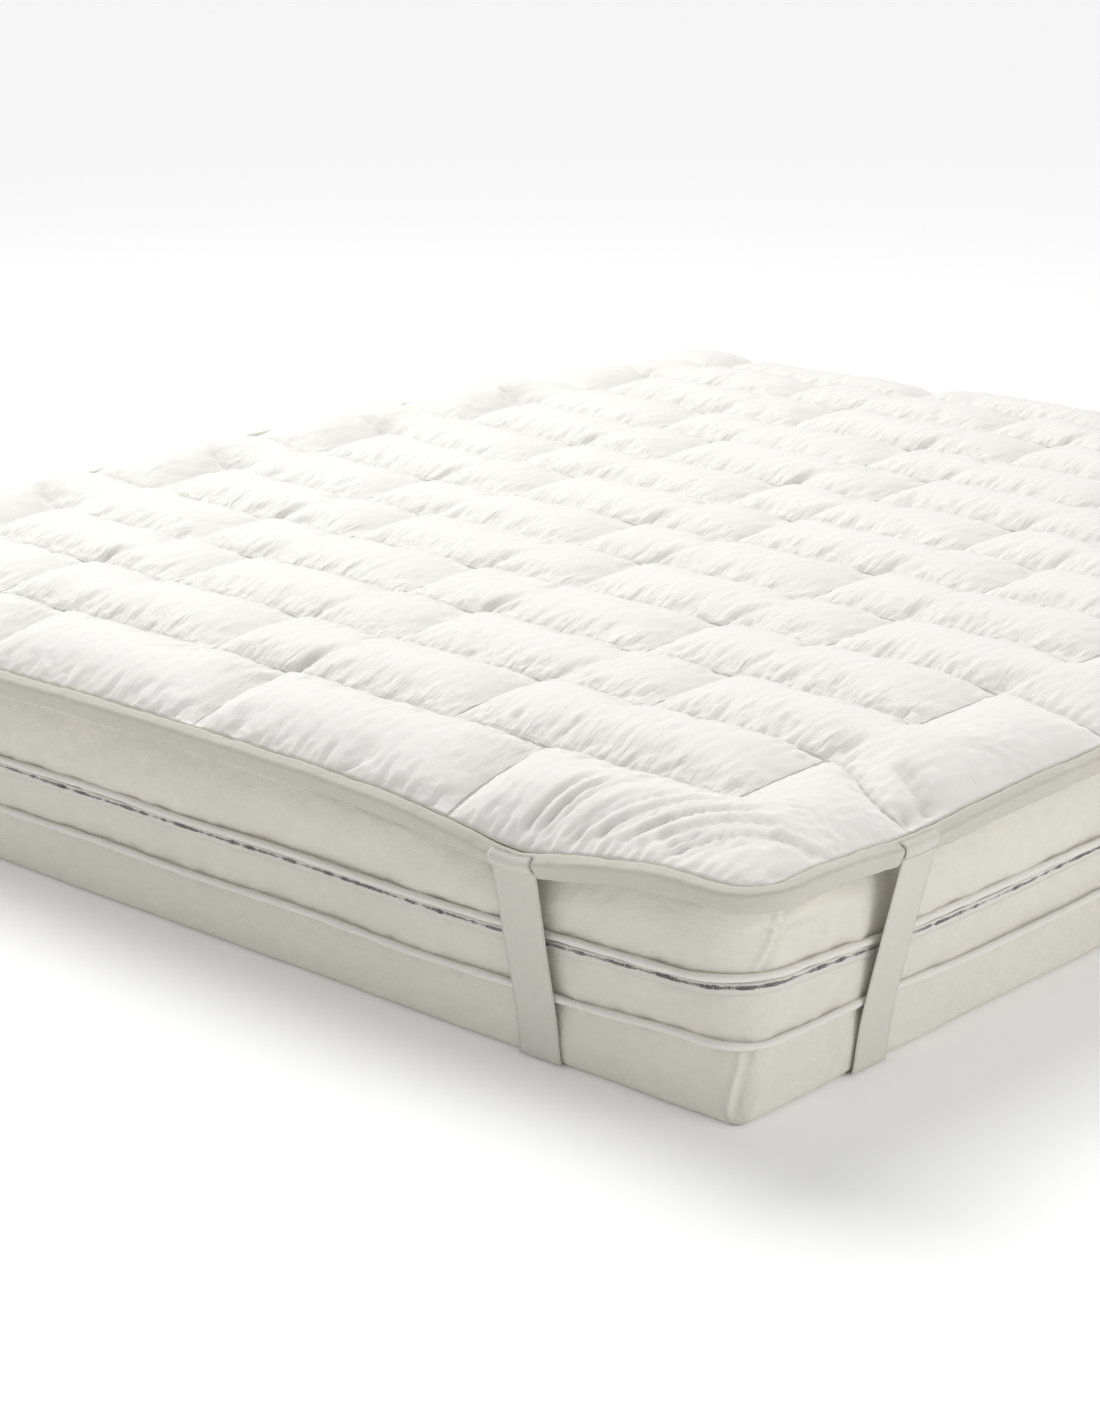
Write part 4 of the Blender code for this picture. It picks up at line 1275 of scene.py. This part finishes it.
def make_strap(number, sx, sy, cloth):
    """A ribbon of even thickness, thinner at its very edges, through its cross-sections and
    closed all round. It is made at the corner at +X +Y and mirrored to its own."""
    mirror = np.array((sx, sy, 1.0))
    steps_along, steps_across = STRAP_STEPS
    place = np.linspace(-1.0, 1.0, steps_across + 1)
    share = place / 2.0 * STRAP_WIDTH
    down = strap_side(ring, "side", mirror, share)
    up = strap_side(ring, "end", mirror, share)[::-1]
    across = [down[-1] + (up[0] - down[-1]) * s for s in (0.25, 0.5, 0.75)]
    ribbon, length = follow(np.array(down + across + up), steps_along)
    face = unit(np.cross(np.gradient(ribbon, axis=0), np.gradient(ribbon, axis=1)))
    edge = 1.0 - 0.55 * np.abs(place) ** 8
    half = (STRAP_THICKNESS / 2.0) * edge[None, :, None] * face
    points = np.concatenate([ribbon + half, (ribbon - half)[:, ::-1]], axis=1) * mirror
    rows, columns = points.shape[:2]
    faces = quads(rows, columns, wrap_columns=True)
    uv = grid_uv(np.linspace(0.0, length, rows),
                 np.concatenate((share, share[::-1], share[:1])))
    first, last = range(columns), range((rows - 1) * columns, rows * columns)
    ends = [list(first)[::-1], list(last)]
    if sx * sy < 0:
        faces, uv, ends = faces[..., ::-1], uv[:, :, ::-1], [end[::-1] for end in ends]
    strap = make_piece(f"elastic_strap_{number}", points, faces, cloth.material, uv, ends)
    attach(strap, "root")
    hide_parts(f"corner_strap_{number}")


elastic = strap_elastic()
for number, (sx, sy) in enumerate(((1, -1), (1, 1), (-1, 1), (-1, -1)), start=1):
    make_strap(number, sx, sy, elastic)


# Floor, light and camera -------------------------------------------------------------------
# A white studio: pale floor and surroundings, a broad soft sun from above and behind on the
# left, a soft light high on the left, and a weaker one low on the right.

FLOOR_COLOUR = (0.99, 0.99, 0.99)
FLOOR_GLOW = 0.07              # keeps it as pale as the surroundings far away
FLOOR_REACH, FLOOR_LEVEL = 60.0, -0.0005
SURROUNDINGS = 0.50            # their light on the object
LIGHTS = (
    dict(name="key", kind='SUN', place=(-2.50, 1.70, 3.10), target=(0.0, 0.0, 0.0),
         power=1.52, size=math.radians(42.0)),
    dict(name="left", kind='AREA', place=(-2.1, -0.3, 2.7), target=(-0.3, -0.1, 0.3),
         power=38.0, size=1.6),
    dict(name="fill", kind='AREA', place=(4.2, 0.2, 1.3), target=(0.6, -0.3, 0.15),
         power=36.0, size=2.4),
)


def make_floor():
    """One pale square just under the bed."""
    material, shader = plain_material("studio_floor", FLOOR_COLOUR, 0.9)
    shader.inputs["Emission Color"].default_value = (1.0, 1.0, 1.0, 1.0)
    shader.inputs["Emission Strength"].default_value = FLOOR_GLOW
    corners = np.array([(-1.0, -1.0), (1.0, -1.0), (1.0, 1.0), (-1.0, 1.0)]) * FLOOR_REACH
    points = np.column_stack([corners, np.full(4, FLOOR_LEVEL)])
    return make_piece("studio_floor", points, np.arange(4), material)


def make_light(name, kind, place, target, power, size):
    """A soft light at a place, facing its target. size is a square's side or a sun's
    angle across."""
    lamp = bpy.data.lights.new(name, kind)
    lamp.energy = power
    if kind == 'SUN':
        lamp.angle = size
    else:
        lamp.shape, lamp.size = 'SQUARE', size
    item = bpy.data.objects.new(name, lamp)
    item.location = place
    item.rotation_euler = (Vector(target) - Vector(place)).to_track_quat('-Z', 'Y').to_euler()
    bpy.context.scene.collection.objects.link(item)


def white_surroundings(strength):
    """White to look at, and a weaker even light on the object."""
    world = bpy.data.worlds.new("studio")
    world.use_nodes = True
    nodes, background = world.node_tree.nodes, world.node_tree.nodes["Background"]
    power = nodes.new('ShaderNodeMath')
    power.operation = 'MAXIMUM'
    power.inputs[1].default_value = strength
    seen = nodes.new('ShaderNodeLightPath').outputs["Is Camera Ray"]
    world.node_tree.links.new(seen, power.inputs[0])
    background.inputs["Color"].default_value = (1.0, 1.0, 1.0, 1.0)
    world.node_tree.links.new(power.outputs["Value"], background.inputs["Strength"])
    return world


floor = make_floor()
for light in LIGHTS:
    make_light(**light)
bpy.context.scene.world = white_surroundings(SURROUNDINGS)
bpy.context.scene.view_settings.view_transform = 'Standard'

# The photograph's camera, found from the crossings of the stitched lines
CAMERA_PLACE = (2.431, -3.014, 1.221)
CAMERA_TURN, CAMERA_DIP = math.radians(42.12), math.radians(17.22)
FOCAL_PIXELS, PICTURE_HEIGHT = 3109.4, 1422

camera_data = bpy.data.cameras.new("camera")
camera_data.sensor_width = 36.0
camera_data.lens = FOCAL_PIXELS / PICTURE_HEIGHT * camera_data.sensor_width
camera = bpy.data.objects.new("camera", camera_data)
camera.location = CAMERA_PLACE
camera.rotation_euler = (math.pi / 2.0 - CAMERA_DIP, 0.0, CAMERA_TURN)
bpy.context.scene.collection.objects.link(camera)
bpy.context.scene.camera = camera
